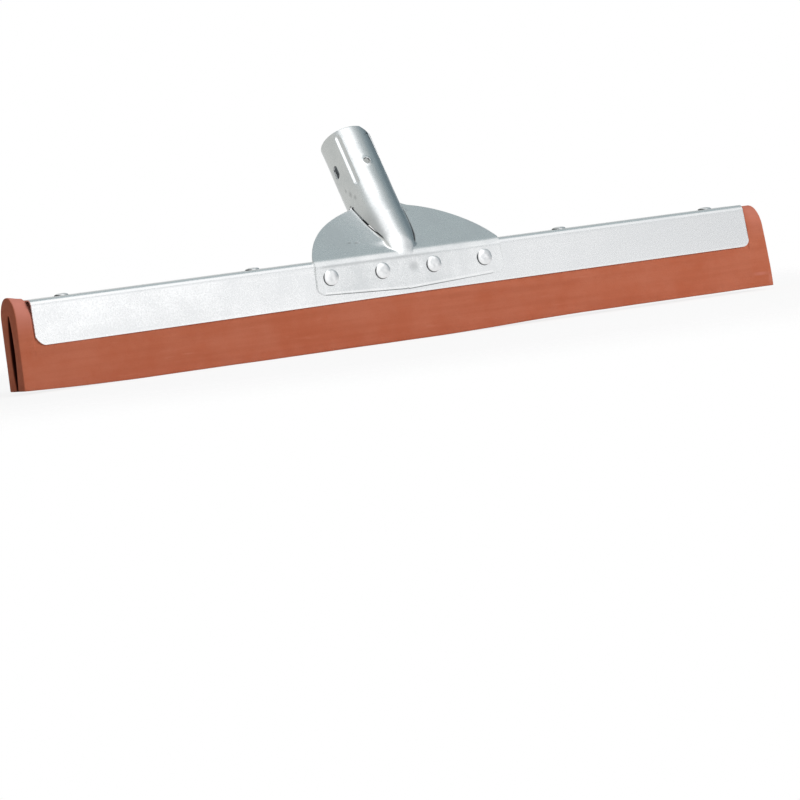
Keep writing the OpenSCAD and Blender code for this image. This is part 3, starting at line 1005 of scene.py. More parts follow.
    def slit_angle(self, s: Array) -> Array:
        """Angle of the slits round the tube: it opens by 1.46 degrees a millimetre, and faster
        below the foot of the axis."""
        turn = 33.5 + 1.46 * s - 0.25 * np.minimum(s, 0.0) ** 2
        return np.radians(np.clip(turn, 23.8, 86.0))

    def half_opening(self, s: Array) -> Array:
        """Half width of the sheet's opening for the hood, up to the slits."""
        return self.tube_radius(s) * np.sin(self.slit_angle(s))

    def closed(self, s: Array) -> Array:
        """Share by which the slits have ended and the wings bed in the tube."""
        return smooth_step(self.slit_top - 0.6, self.slit_top + 0.8, s)

    def tube_radius(self, s: Array) -> Array:
        """Outer radius, which narrows a little towards the wings."""
        return self.radius - self.taper * smooth_step(self.rim, 36.0, s)

    def root_limit(self, s: Array, base: Array) -> Array:
        """How far ahead the hood may stand: the sheet itself below the root, then a straight
        line that leans less than the tube."""
        return np.where(s > self.root_s,
                        np.maximum(base, self.root_v + (s - self.root_s) * self.root_slope), base)

    def hood_height(self, x: Array, s: Array, base: Array) -> Array:
        """Height of the hood: the root of the squared radius less the squared x, held back near its
        root.

        Args:
            x: Distances across from the middle.
            s: Distances along the axis.
            base: Height of the bent sheet there.

        Returns:
            Heights v.
        """
        radius = self.tube_radius(s)
        circle = np.sqrt(np.clip(radius ** 2 - x ** 2, 0.0, None))
        return self.held_back(circle, radius, s, base)

    def held_back(self, height: Array, radius: Array, s: Array, base: Array) -> Array:
        """Lowers the tube's section to the root's line and never under the bent sheet.

        Args:
            height: Heights v of the tube's section.
            radius: Radius of the tube there.
            s: Distance along the axis.
            base: Height of the bent sheet there.

        Returns:
            Heights v of the hood.
        """
        rise = smooth_step(self.root_s, self.root_s + 4.0, s)
        front = soft_min(radius, self.root_limit(s, base), self.blend_reach * rise)
        return np.maximum(front - (radius - height) * rise, np.minimum(base, front))

    def plate_height(self, x: Array, s: Array, base: Array) -> Array:
        """Height of flange and wings: the bent sheet, drawn up a little to the left of the tube
        and curled up at the hood's edge.

        The curl is a tight parabola that starts at the hood's height. The right wing lies flat
        beside its slit.

        Args:
            x: Distance across from the middle.
            s: Distance along the axis.
            base: Height of the bent sheet there.

        Returns:
            Heights v.
        """
        held = np.maximum(s, self.fold_s)
        edge = self.half_opening(held)
        drawn = np.where(x < 0.0, self.drawn, 0.0) * smooth_step(-1.0, 5.0, s)
        base = base + drawn * unit(1.0 - (np.abs(x) - edge) / 20.0) ** 2
        flat = np.where(x > 0.0, smooth_step(-0.6, 1.5, s), 0.0)
        lift = (self.hood_height(edge, s, base) - base) * (1.0 - flat)
        slope = np.tan(self.slit_angle(held)) * smooth_step(self.fold_s - 2.0, 3.0, s) + 0.2
        tight = np.where(x > 0.0, 0.5, 0.5 - 0.2 * smooth_step(0.0, 5.0, s))
        run = np.clip(2.0 * lift / slope, 1.6, 7.5) * tight
        return base + lift * unit(1.0 - (np.abs(x) - edge) / run) ** 2

    def outline(self, x: Array, side: float) -> Array:
        """Upper end of a wing along the sheet: a round arc, and from where they touch a smaller
        circle's lower side, which flares up to the tube.

        Args:
            x: Distances across, always positive.
            side: -1 for the left wing and 1 for the right one.

        Returns:
            Distances t along the sheet from the fold's upper end.
        """
        radius, centre = self.arc(side)
        flare_radius = self.left_flare if side < 0 else self.right_flare
        centre_x = self.radius - self.head.socket_sheet / 2 + flare_radius
        reach = radius + flare_radius
        centre_t = centre + math.sqrt(reach ** 2 - centre_x ** 2)
        touch = centre_x * radius / reach
        arc = centre + np.sqrt(radius ** 2 - x ** 2)
        flare = centre_t - np.sqrt(np.clip(flare_radius ** 2 - (centre_x - x) ** 2, 0.0, None))
        return np.where(x < touch, flare, arc)

    def column_shares(self, side: float) -> Array:
        """Spreads the plate's columns: fine at the hood, and on the corner's circle at the side.

        Args:
            side: -1 for the left half and 1 for the right one.

        Returns:
            Shares of the way from the hood's edge to the plate's side.
        """
        edge = self.radius * math.sin(float(self.slit_angle(np.array(self.fold_s))))
        corner = self.flange_corner / (self.reach(side) - edge)
        turn = np.sin(np.radians(np.linspace(0.0, 90.0, 13)))[1:]
        wide = (1.0 - corner) * np.linspace(0.0, 1.0, self.plate_columns - 12) ** 1.35
        return np.concatenate([wide, 1.0 - corner * (1.0 - turn)])

    def flange_low(self, x: Array) -> Array:
        """Lower edge of the flange: a shallow V of two straight slopes, each ended by part of a
        circle that it touches.

        Args:
            x: Distances across from the middle.

        Returns:
            Heights over the floor.
        """
        r = self.flange_corner
        half = np.where(x < 0.0, self.left_half, self.right_half)
        slope = self.flange_rise / half
        centre = half - r
        centre_z = self.flange_foot + centre * slope + r * np.hypot(1.0, slope)
        away = np.clip(np.abs(x) - centre, 0.0, r)
        straight = self.flange_foot + np.abs(x) * slope
        return np.where(np.abs(x) > centre, centre_z - np.sqrt(r * r - away * away), straight)

    def opening(self, s: Array, side: float) -> Array:
        """Width of a slit, eased up from nothing at its lower end: the right one gapes.

        Args:
            s: Distances along the axis.
            side: -1 for the left slit and 1 for the right one.

        Returns:
            Widths.
        """
        if side < 0:
            return self.left_slit * smooth_step(self.left_start, self.left_start + 14.0, s)
        return self.right_slit * smooth_step(self.right_start, self.right_start + 9.0, s)

    def wing_inner(self, s: Array, side: float) -> Array:
        """Edge of a wing beside the hood: it opens at the slit and beds in the tube above it."""
        edge = self.half_opening(s) + (0.5 if side < 0 else 1.0) * self.opening(s, side)
        return mix(edge, self.tube_radius(s) - self.bedding, self.closed(s))

    def wing_top(self, side: float) -> float:
        """Where the flare of a wing ends at the tube, along the axis."""
        top_t = float(self.outline(np.array(self.radius - self.bedding), side))
        return self.fold_s + top_t * self.plane_scale

    def wing_stations(self, side: float = -1.0) -> Array:
        """Places of a wing's rows along the axis, from the fold to the top of the flare.

        Both wings share the rows that touch the slits. Above them the right wing's rows are
        stretched up to its own top.

        Args:
            side: -1 for the left wing and 1 for the right one.

        Returns:
            Distances along the axis.
        """
        s = np.linspace(self.fold_s, self.wing_top(-1.0), self.wing_rows)
        above = unit((s - self.shared_rows_s) / (s[-1] - self.shared_rows_s))
        return s + (self.wing_top(side) - s[-1]) * above

    def wing(self, side: float) -> tuple[Array, Array]:
        """Grid of one wing: a blend of its four borders.

        The borders are the fold, the hood's edge, the side arc and the top. A point is the sum
        of the two straight blends across opposite borders, less the blend of the four corners.

        Args:
            side: -1 for the left wing and 1 for the right one.

        Returns:
            x and t of the points, rows by columns.
        """
        share, half = self.column_shares(side), self.reach(side)
        radius, centre = self.arc(side)
        inner_s = self.wing_stations(side)
        rows = ((inner_s - self.fold_s) / (inner_s[-1] - self.fold_s))[:, None]
        inner = np.stack([self.wing_inner(inner_s, side),
                          (inner_s - self.fold_s) / self.plane_scale], -1)[:, None]
        inner[-1, 0, 1] = float(self.outline(inner[-1, 0, 0], side))
        bottom_x = mix(inner[0, 0, 0], half, share)
        bottom = np.stack([bottom_x, 0 * bottom_x], -1)[None]
        angle = mix(math.asin(half / radius), math.asin(self.side_x / radius), rows[:, 0])
        outer = np.stack([radius * np.sin(angle), centre + radius * np.cos(angle)], -1)[:, None]
        outer[0, 0] = (half, 0.0)
        top_x = mix(inner[-1, 0, 0], self.side_x, share)
        top = np.stack([top_x, self.outline(top_x, side)], -1)[None]
        u, v = share[None, :, None], rows[..., None]
        corners = mix(mix(bottom[:, :1], bottom[:, -1:], u), mix(top[:, :1], top[:, -1:], u), v)
        grid = mix(bottom, top, v) + mix(inner, outer, u) - corners
        return grid[..., 0], grid[..., 1]

    def dents(self, x: Array, s: Array) -> Array:
        """Marks of the press and of use: a slow waviness away from the hood, less two round humps.

        Args:
            x: Distances across from the middle.
            s: Distances along the axis.

        Returns:
            Heights to add to v.
        """
        slow = 0.10 * waviness(x, s, (35.0, 90.0), 21) + 0.02 * waviness(x, s, (6.0, 16.0), 22)
        pit = -0.2 * spot(x - self.pits[0][0], s - self.pits[0][1], 1.4, 1.6)
        push = -0.16 * spot(x - self.push[0], s - self.push[1], 3.2, 1.4)
        return slow * smooth_step(6.0, 20.0, np.abs(x)) + pit + push

    def plate(self) -> list[Patch]:
        """Flange, fold and wings, with the middle strip of the flange under the hood.

        Returns:
            Patches that share their borders.
        """
        fold_edge = float(self.half_opening(np.array(self.fold_s)))
        left, right = (mix(fold_edge, self.reach(side), self.column_shares(side))
                       for side in (-1.0, 1.0))
        fold_s = np.array([self.fold_s])
        middle = (self.tube_radius(fold_s)[:, None] * np.sin(self.hood_angles(fold_s)))[0]
        x = np.concatenate([-left[::-1], middle[1:-1], right])[None]
        low = (self.flange_low(x) - self.bend_z - self.arc_length
               + 0.35 * bump(x - self.nick, 0.9))
        up = np.linspace(0.0, 1.0, self.flange_rows)[:, None] ** 1.5
        flange_t = mix(low, -self.arc_length, up)
        arc_t = np.repeat(np.linspace(-self.arc_length, 0.0, 13)[1:, None], x.shape[1], 1)
        t = np.vstack([flange_t, arc_t])
        x = np.repeat(x, len(t), 0)
        out = unit(x[0] / self.right_half) ** 2
        x[:self.flange_rows] += self.splay * out * (1.0 - up)
        s, base = self.base(t)
        inside = np.abs(x) < fold_edge - 1e-4
        v = np.where(inside, self.hood_height(x, s, base), self.plate_height(x, s, base))
        v = v + self.dents(x, s)
        patches = [Patch(self.place(x, s, v))]
        for side in (-1.0, 1.0):
            wing_x, wing_t = self.wing(side)
            wing_x = side * wing_x
            s, base = self.base(wing_t)
            v = self.plate_height(wing_x, s, base)
            if side < 0:
                wing_x, s, v = wing_x[:, ::-1], s[:, ::-1], v[:, ::-1]
            v = v + self.dents(wing_x, s)
            patches.append(Patch(self.place(wing_x, s, v)))
        return patches

    def to_rim(self, s: Array, start: float) -> Array:
        """Share of the way from a start along the axis to the rim."""
        return unit((s - start) / (self.rim - start))

    def seam_angle(self, s: Array) -> Array:
        """Angle of the seam, which runs a little askew from the end of the slit to the rim."""
        return np.radians(mix(self.seam_low, self.seam_high, self.to_rim(s, 48.0)))

    def hood_edges(self, s: Array) -> tuple[Array, Array]:
        """Angles of the hood's edges: those of the slits, then the join to the left and the seam to
        the right, each set back by half of the gap there.

        Args:
            s: Distances along the axis.

        Returns:
            Angles of the left and of the right edge.
        """
        radius = self.tube_radius(s)
        slit = self.slit_angle(np.minimum(s, self.slit_top))
        closed = self.closed(s)
        left = slit - 0.5 * self.opening(s, -1.0) * (1 - closed) / radius
        right = mix(slit, self.seam_angle(s), smooth_step(self.slit_top + 1.0, 50.0, s))
        return -left, right - 0.5 * self.seam_gap * closed / radius

    def hood_angles(self, s: Array) -> Array:
        """Angles of the hood's points on rows at s: even steps from its left to its right edge."""
        left, right = self.hood_edges(s)
        return mix(left[:, None], right[:, None], np.linspace(0.0, 1.0, self.hood_columns))

    def relief(self, angle: Array, s: Array) -> Array:
        """What the press adds to the tube's radius: humps of the distance to a line for the groove,
        to a circle for the ring round the screw hole and to a short line for the dish round the
        nail slot, and a faint waviness.

        Args:
            angle: Angles round the tube.
            s: Distances along the axis.

        Returns:
            Heights to add to the radius.
        """
        arc = self.radius * (angle - math.radians(self.groove_angle))
        past = np.maximum(np.abs(s - self.groove_s) - self.groove_half, 0.0)
        groove = -0.62 * bump(np.hypot(arc, past), 1.75)
        screw = np.hypot(self.radius * angle, s - self.screw_s)
        ring = 0.16 * bump(screw - 2.2, 1.2)
        slot = np.hypot(self.radius * (angle + math.radians(82.0)),
                        np.maximum(np.abs(s - 58.5) - 2.0, 0.0))
        dish = -0.22 * bump(slot, 3.4)
        uneven = 0.035 * waviness(self.radius * angle, s, (14.0, 50.0), 31)
        return groove + ring + dish + uneven * smooth_step(8.0, 20.0, s)

    def tube(self) -> list[Patch]:
        """Hood and rolled tube: angle round the axis against distance along it.

        Returns:
            The front from the root to the rim, and the back from above the crossing.
        """
        wing_s = self.wing_stations()
        s = np.concatenate([wing_s, np.linspace(wing_s[-1], self.rim, 76)[1:]])
        front = self.hood_angles(s)
        left, right = self.hood_edges(s)
        start = right + self.seam_gap / self.tube_radius(s)
        left_gap = 2.0 * (-left - self.slit_angle(np.minimum(s, self.slit_top)))
        end = 2 * math.pi + left + left_gap
        back = mix(start[:, None], end[:, None], np.linspace(0.0, 1.0, self.back_columns))
        patches = []
        for angle, rows in ((front, s >= self.fold_s), (back, s > self.back_start)):
            angle, along = angle[rows], s[rows][:, None]
            turned = (angle + math.pi) % (2 * math.pi) - math.pi
            from_seam = np.minimum(np.abs(angle - right[rows][:, None]),
                                   np.abs(angle - start[rows][:, None])) * self.radius
            crop = self.seam_step * unit(1.0 - from_seam / 5.6) ** 0.8
            along = along - crop * smooth_step(self.rim - 9.0, self.rim, along)
            radius = self.tube_radius(along) + self.relief(turned, along)
            x = radius * np.sin(angle)
            v = radius * np.cos(angle)
            if angle.shape[1] == self.hood_columns:
                base = np.broadcast_to((self.crossing - along) * self.wing_slope, x.shape)
                held = self.held_back(v, self.tube_radius(along), along, base)
                v = np.where(along < 20.0, held, v)
            patches.append(Patch(self.place(x, along, v)))
        return patches

    def slit_painted_light(self, x: Array, s: Array, angle: Array) -> Array:
        """Painted shade in both slits, and painted highlights on the edges beside them.

        The left slit's dark line ends where the slit ends. The right one's goes on in the join
        above it, with a painted highlight on the hood beside it, and a patch of painted shade
        darkens the hood's lower left.

        Args:
            x: Distances across from the middle.
            s: Distances along the axis.
            angle: Angles round the tube.

        Returns:
            One value a vertex.
        """
        slit = self.slit_angle(np.minimum(s, self.slit_top))
        ahead = self.radius * (np.abs(angle) - slit)
        below = smooth_step(self.slit_top + 1.5, self.slit_top, s)
        left = (x < 0.0) * smooth_step(0.0, 4.0, s - self.left_start) * below
        right = (x > 0.0) * smooth_step(0.0, 3.0, s - self.right_start)
        right *= smooth_step(self.slit_top + 7.5, self.slit_top + 6.0, s)
        edge = self.tube_radius(s) * np.sin(slit)
        past_left = -x - edge - 0.5 * self.opening(s, -1.0)
        past_right = x - edge - self.opening(s, 1.0)
        # Painted shade: dark lines along both slits and along the join above the right one
        light_and_grime = left * bump(np.minimum(ahead, 0.0), 0.7) * (past_left < 0.1)
        light_and_grime += right * 1.3 * bump(np.minimum(ahead, 0.0), 1.4) * (past_right < 0.0)
        light_and_grime += right * (past_right > -0.4) * smooth_step(1.0, 0.5, past_right)
        # Painted highlight along the left wing's lip beside the slit
        light_and_grime -= (x < 0.0) * smooth_step(-5.0, 1.0, s) * below * bump(past_left - 0.8, 0.9)
        # Painted highlight on the hood beside the right slit
        light_and_grime -= 0.5 * right * smooth_step(10.0, 20.0, s) * bump(ahead + 2.8, 1.2)
        # Painted shade over the hood's lower left
        light_and_grime += (0.24 * (ahead < -0.5) * smooth_step(-0.15, -0.6, angle)
                 * smooth_step(30.0, 16.0, s) * smooth_step(1.0, 7.0, s))
        return light_and_grime

    def tube_shade_and_stains(self, x: Array, s: Array, v: Array) -> Array:
        """Painted shade in the bore and in the seam's dark lines, a painted highlight on the seam's
        lip, specks and stains.

        Args:
            x: Distances across from the middle.
            s: Distances along the axis.
            v: Distances ahead of the axis.

        Returns:
            One value a vertex.
        """
        angle = np.arctan2(x, v)
        inner = np.hypot(x, v) < self.radius - 0.8
        # Painted shade inside the bore, where it shows through the nail slot
        light_and_grime = 0.9 * inner * (s > 46.0) * bump(angle + 2.6, 0.6)
        rolled = smooth_step(self.slit_top + 6.0, self.slit_top + 12.0, s)
        lip = np.radians(mix(57.0, 36.0, self.to_rim(s, 46.0)))
        across = self.radius * (angle - lip)
        # Seam drawn in paint: two dark lines of painted shade beside a lip of painted highlight
        light_and_grime += rolled * (0.5 * bump(across + 0.5, 1.1) + 0.5 * bump(across - 3.4, 1.3)
                          - bump(across - 1.5, 1.2))
        specks = smooth_step(0.1, 0.6, waviness(x, s, (1.6, 4.0), 41))
        light_and_grime += 0.6 * specks * spot(self.radius * (angle - 0.62), s - 74.5, 5.0)
        for place, height, size in self.stains:
            light_and_grime += 0.3 * spot(s - height, self.radius * (angle - place), size, 1.8)
        return light_and_grime

    def flange_light_and_marks(self, x: Array, y: Array, z: Array) -> Array:
        """Painted shade under the flange's foot and in a faint line where the fold starts, painted
        highlights above the foot, on the fold and over the right half, and a dark mark at the nick.

        Args:
            x: Distances across from the middle.
            y: Places along Y.
            z: Heights.

        Returns:
            One value a vertex.
        """
        over, fold = z - self.flange_low(x), z - self.bend_z
        outer = y < -self.head.channel_face - 0.9
        front = outer & (np.abs(x) < self.left_half - 4.0)
        # Painted shade under the foot, painted highlight just above it, a dark mark at the nick,
        # and at the fold a faint line of painted shade under a painted highlight
        light_and_grime = front * (0.9 * smooth_step(0.5, 0.2, over) - bump(over - 1.1, 0.8)
                        + 0.9 * spot(x - self.nick, over - 0.3, 1.0)
                        + 0.2 * bump(fold - 0.6, 1.1) - 0.6 * bump(fold - 3.6, 2.0))
        # Painted highlight over the right half of the flange's face
        return light_and_grime - 0.5 * outer * smooth_step(5.0, 45.0, x)

    def painted_light_and_grime(self, points: Array) -> Array:
        """Painted shade, painted highlights, stains and marks of the stamping: 1 is dark, -1
        bright.

        Args:
            points: Vertices from the blade's middle plane.

        Returns:
            One value a vertex.
        """
        s, v = self.axis_frame(points[:, 1], points[:, 2])
        x = points[:, 0] - self.head.socket_x - self.sway(s)
        light_and_grime = self.slit_painted_light(x, s, np.arctan2(x, v)) + self.tube_shade_and_stains(x, s, v)
        # Darker spots at the two pits and at the dent
        for place, height in self.pits:
            light_and_grime += 0.45 * spot(x - place, s - height, 1.1, 1.5)
        light_and_grime += 0.2 * spot(x - self.push[0], s - self.push[1], 2.6, 1.4)
        light_and_grime += self.flange_light_and_marks(x, points[:, 1], points[:, 2])
        return np.clip(light_and_grime, -1.0, 1.0)

    def cutter(self, angle: float, s: float, length: float, width: float) -> Piece:
        """Round-ended bar that stands out of the tube's wall, to cut a hole with.

        Args:
            angle: Degrees round the tube from its front.
            s: Distance along the axis.
            length: Length of the hole along the tube.
            width: Width of the hole.

        Returns:
            The cutter.
        """
        turn = np.radians(np.linspace(0.0, 360.0, 49))[:-1]
        straight = (length - width) / 2
        across = 0.5 * width * np.cos(turn)
        along = 0.5 * width * np.sin(turn) + straight * np.sign(np.sin(turn) + 1e-9)
        out = math.radians(angle)
        rings = []
        for depth in (self.radius - 4.0, self.radius + 3.0):  # well inside and outside the wall
            x = depth * math.sin(out) + across * math.cos(out)
            v = depth * math.cos(out) - across * math.sin(out)
            rings.append(self.place(x, s + along, v))
        count = len(turn)
        maker = MeshMaker(self.maker.origin)
        number = np.arange(count)
        after = (number + 1) % count
        sides = np.stack([number, after, after + count, number + count], -1).tolist()
        maker.extra_points = [np.concatenate(rings)]
        maker.extra_faces = [sides + [number[::-1].tolist(), (number + count).tolist()]]
        cutter = maker.build("cutter")
        face_outwards(cutter.data)
        return cutter

    def build(self) -> Piece:
        """Joins plate, hood and tube, gives the sheet its thickness and pierces the tube.

        Returns:
            The stamping.
        """
        self.maker.patches = self.plate() + self.tube()
        piece = self.maker.build("stamped_socket")
        thicken(piece, self.head.socket_sheet)
        cutters = [
            self.cutter(0.0, self.screw_s, self.screw_size, self.screw_size),
            self.cutter(self.nail_angle, self.nail_s, self.nail_length, self.nail_width)]
        for cutter in cutters:
            hole = piece.modifiers.new("hole", "BOOLEAN")
            hole.object = cutter
            hole.operation = "DIFFERENCE"
            hole.solver = "EXACT"
        round_edges(piece, 0.14, 55.0)
        settle(piece, 38.0)
        # Painted shade and painted highlights, with stains and marks, one value a vertex
        paint(piece, "painted_light_and_grime", self.painted_light_and_grime(settled_points(piece, self.maker.origin)))
        for cutter in cutters:
            bpy.data.objects.remove(cutter)
        return piece


@dataclass
class Turned:
    """A rivet or a ring: a profile of radius and depth turned about its axis, then hammered."""

    maker: MeshMaker
    name: str
    centre: tuple[float, float, float]
    outward: tuple[float, float, float]
    profile: list[tuple[float, float]]
    uneven: float
    seed: int
    segments: int = 56

    def surface(self) -> Array:
        """Turns the profile. The head's edge wanders a little, and its face keeps hammer marks.

        Returns:
            Grid of points, steps of the profile by steps of the turn.
        """
        rough = np.array(self.profile)
        step = np.hypot(*np.diff(rough, axis=0).T)
        reach = np.concatenate([[0.0], np.cumsum(step)])
        fine = np.unique(np.concatenate([reach, np.linspace(0.0, reach[-1], 40)]))
        radius = np.interp(fine, reach, rough[:, 0])[:, None]
        depth = np.interp(fine, reach, rough[:, 1])[:, None]
        widest = rough[:, 0].max()
        angle = np.linspace(0.0, 2 * math.pi, self.segments + 1)[None]
        phase = np.random.default_rng(self.seed).uniform(0, 2 * math.pi, 4)
        edge = sum(np.sin((k + 2) * angle + phase[k]) / (k + 2) for k in range(4))
        out = radius * (1.0 + 0.5 * self.uneven * edge * (radius / widest) ** 3 / widest)
        across, beside = out * np.cos(angle), out * np.sin(angle)
        dent = np.clip(1.0 - waviness(across, beside, (2.0, 7.0), self.seed + 50), 0.0, 2.5)
        height = depth - 0.6 * self.uneven * dent * smooth_step(0.1, 0.5, depth)
        z_axis = Vector(self.outward)
        x_axis = z_axis.orthogonal().normalized()
        y_axis = z_axis.cross(x_axis)
        return (np.array(self.centre) + across[..., None] * np.array(x_axis)
                + beside[..., None] * np.array(y_axis) + height[..., None] * np.array(z_axis))

    def build(self) -> Piece:
        """Makes the piece, with painted shade round the lower left of its edge.

        Returns:
            The turned piece.
        """
        self.maker.patches = [Patch(self.surface())]
        piece = self.maker.build(self.name)
        face_outwards(piece.data)
        settle(piece, 48.0)
        axis = np.array(self.outward)
        beside = settled_points(piece, self.maker.origin) - np.array(self.centre)
        out = np.linalg.norm(beside - (beside @ axis)[:, None] * axis, axis=1)
        low_left = (-0.8 * beside[:, 0] - 0.6 * beside[:, 2]) / np.maximum(out, 1e-6)
        rim = smooth_step(0.88, 0.97, out / max(radius for radius, _ in self.profile))
        # Painted shade: a dark crescent on the lower left of the head's edge
        paint(piece, "painted_light_and_grime", rim * smooth_step(0.0, 0.7, low_left))
        return piece


@dataclass(frozen=True)
class Fastening:
    """Sizes of a rivet and of the ring that its tail is clenched over."""

    head: float
    height: float
    shank: float
    tail: float
    ring: float
    bore: float
    tail_height: float = 1.0
    ring_sheet: float = 0.8

    def rivet(self, grip: float) -> list[tuple[float, float]]:
        """Half section of the rivet from the middle of its head to the middle of its tail.

        The head is a short rim under a flattened dome.

        Args:
            grip: Length of the shank under the head.

        Returns:
            Radius and depth pairs.
        """
        head, shank, tail = self.head / 2, self.shank / 2, self.tail / 2
        dome = [(head * 0.97 * share, self.height * (1.0 - 0.62 * share ** 3.8))
                for share in np.linspace(0.0, 1.0, 9)]
        end = [(tail * math.cos(turn), -grip - self.tail_height * (0.25 + 0.75 * math.sin(turn)))
               for turn in np.radians(np.linspace(0, 90, 6))]
        return dome + [(head, self.height * 0.16), (head * 0.985, 0.0), (shank, 0.0),
                       (shank, -grip), (tail, -grip)] + end

    def burr(self) -> list[tuple[float, float]]:
        """Half section of the ring, a rectangle with slightly blunted outer edges.

        Returns:
            Radius and depth pairs that come back to the first one.
        """
        soft, outer, inner, sheet = 0.15, self.ring / 2, self.bore / 2, self.ring_sheet
        return [(inner, 0.0), (outer - soft, 0.0), (outer, soft), (outer, sheet - soft),
                (outer - soft, sheet), (inner, sheet), (inner, 0.0)]


FLANGE = Fastening(head=8.9, height=1.25, shank=4.0, tail=6.0, ring=8.4, bore=4.2)
CROWN = Fastening(head=7.5, height=1.2, shank=3.0, tail=4.5, ring=6.8, bore=3.2)


# Studio


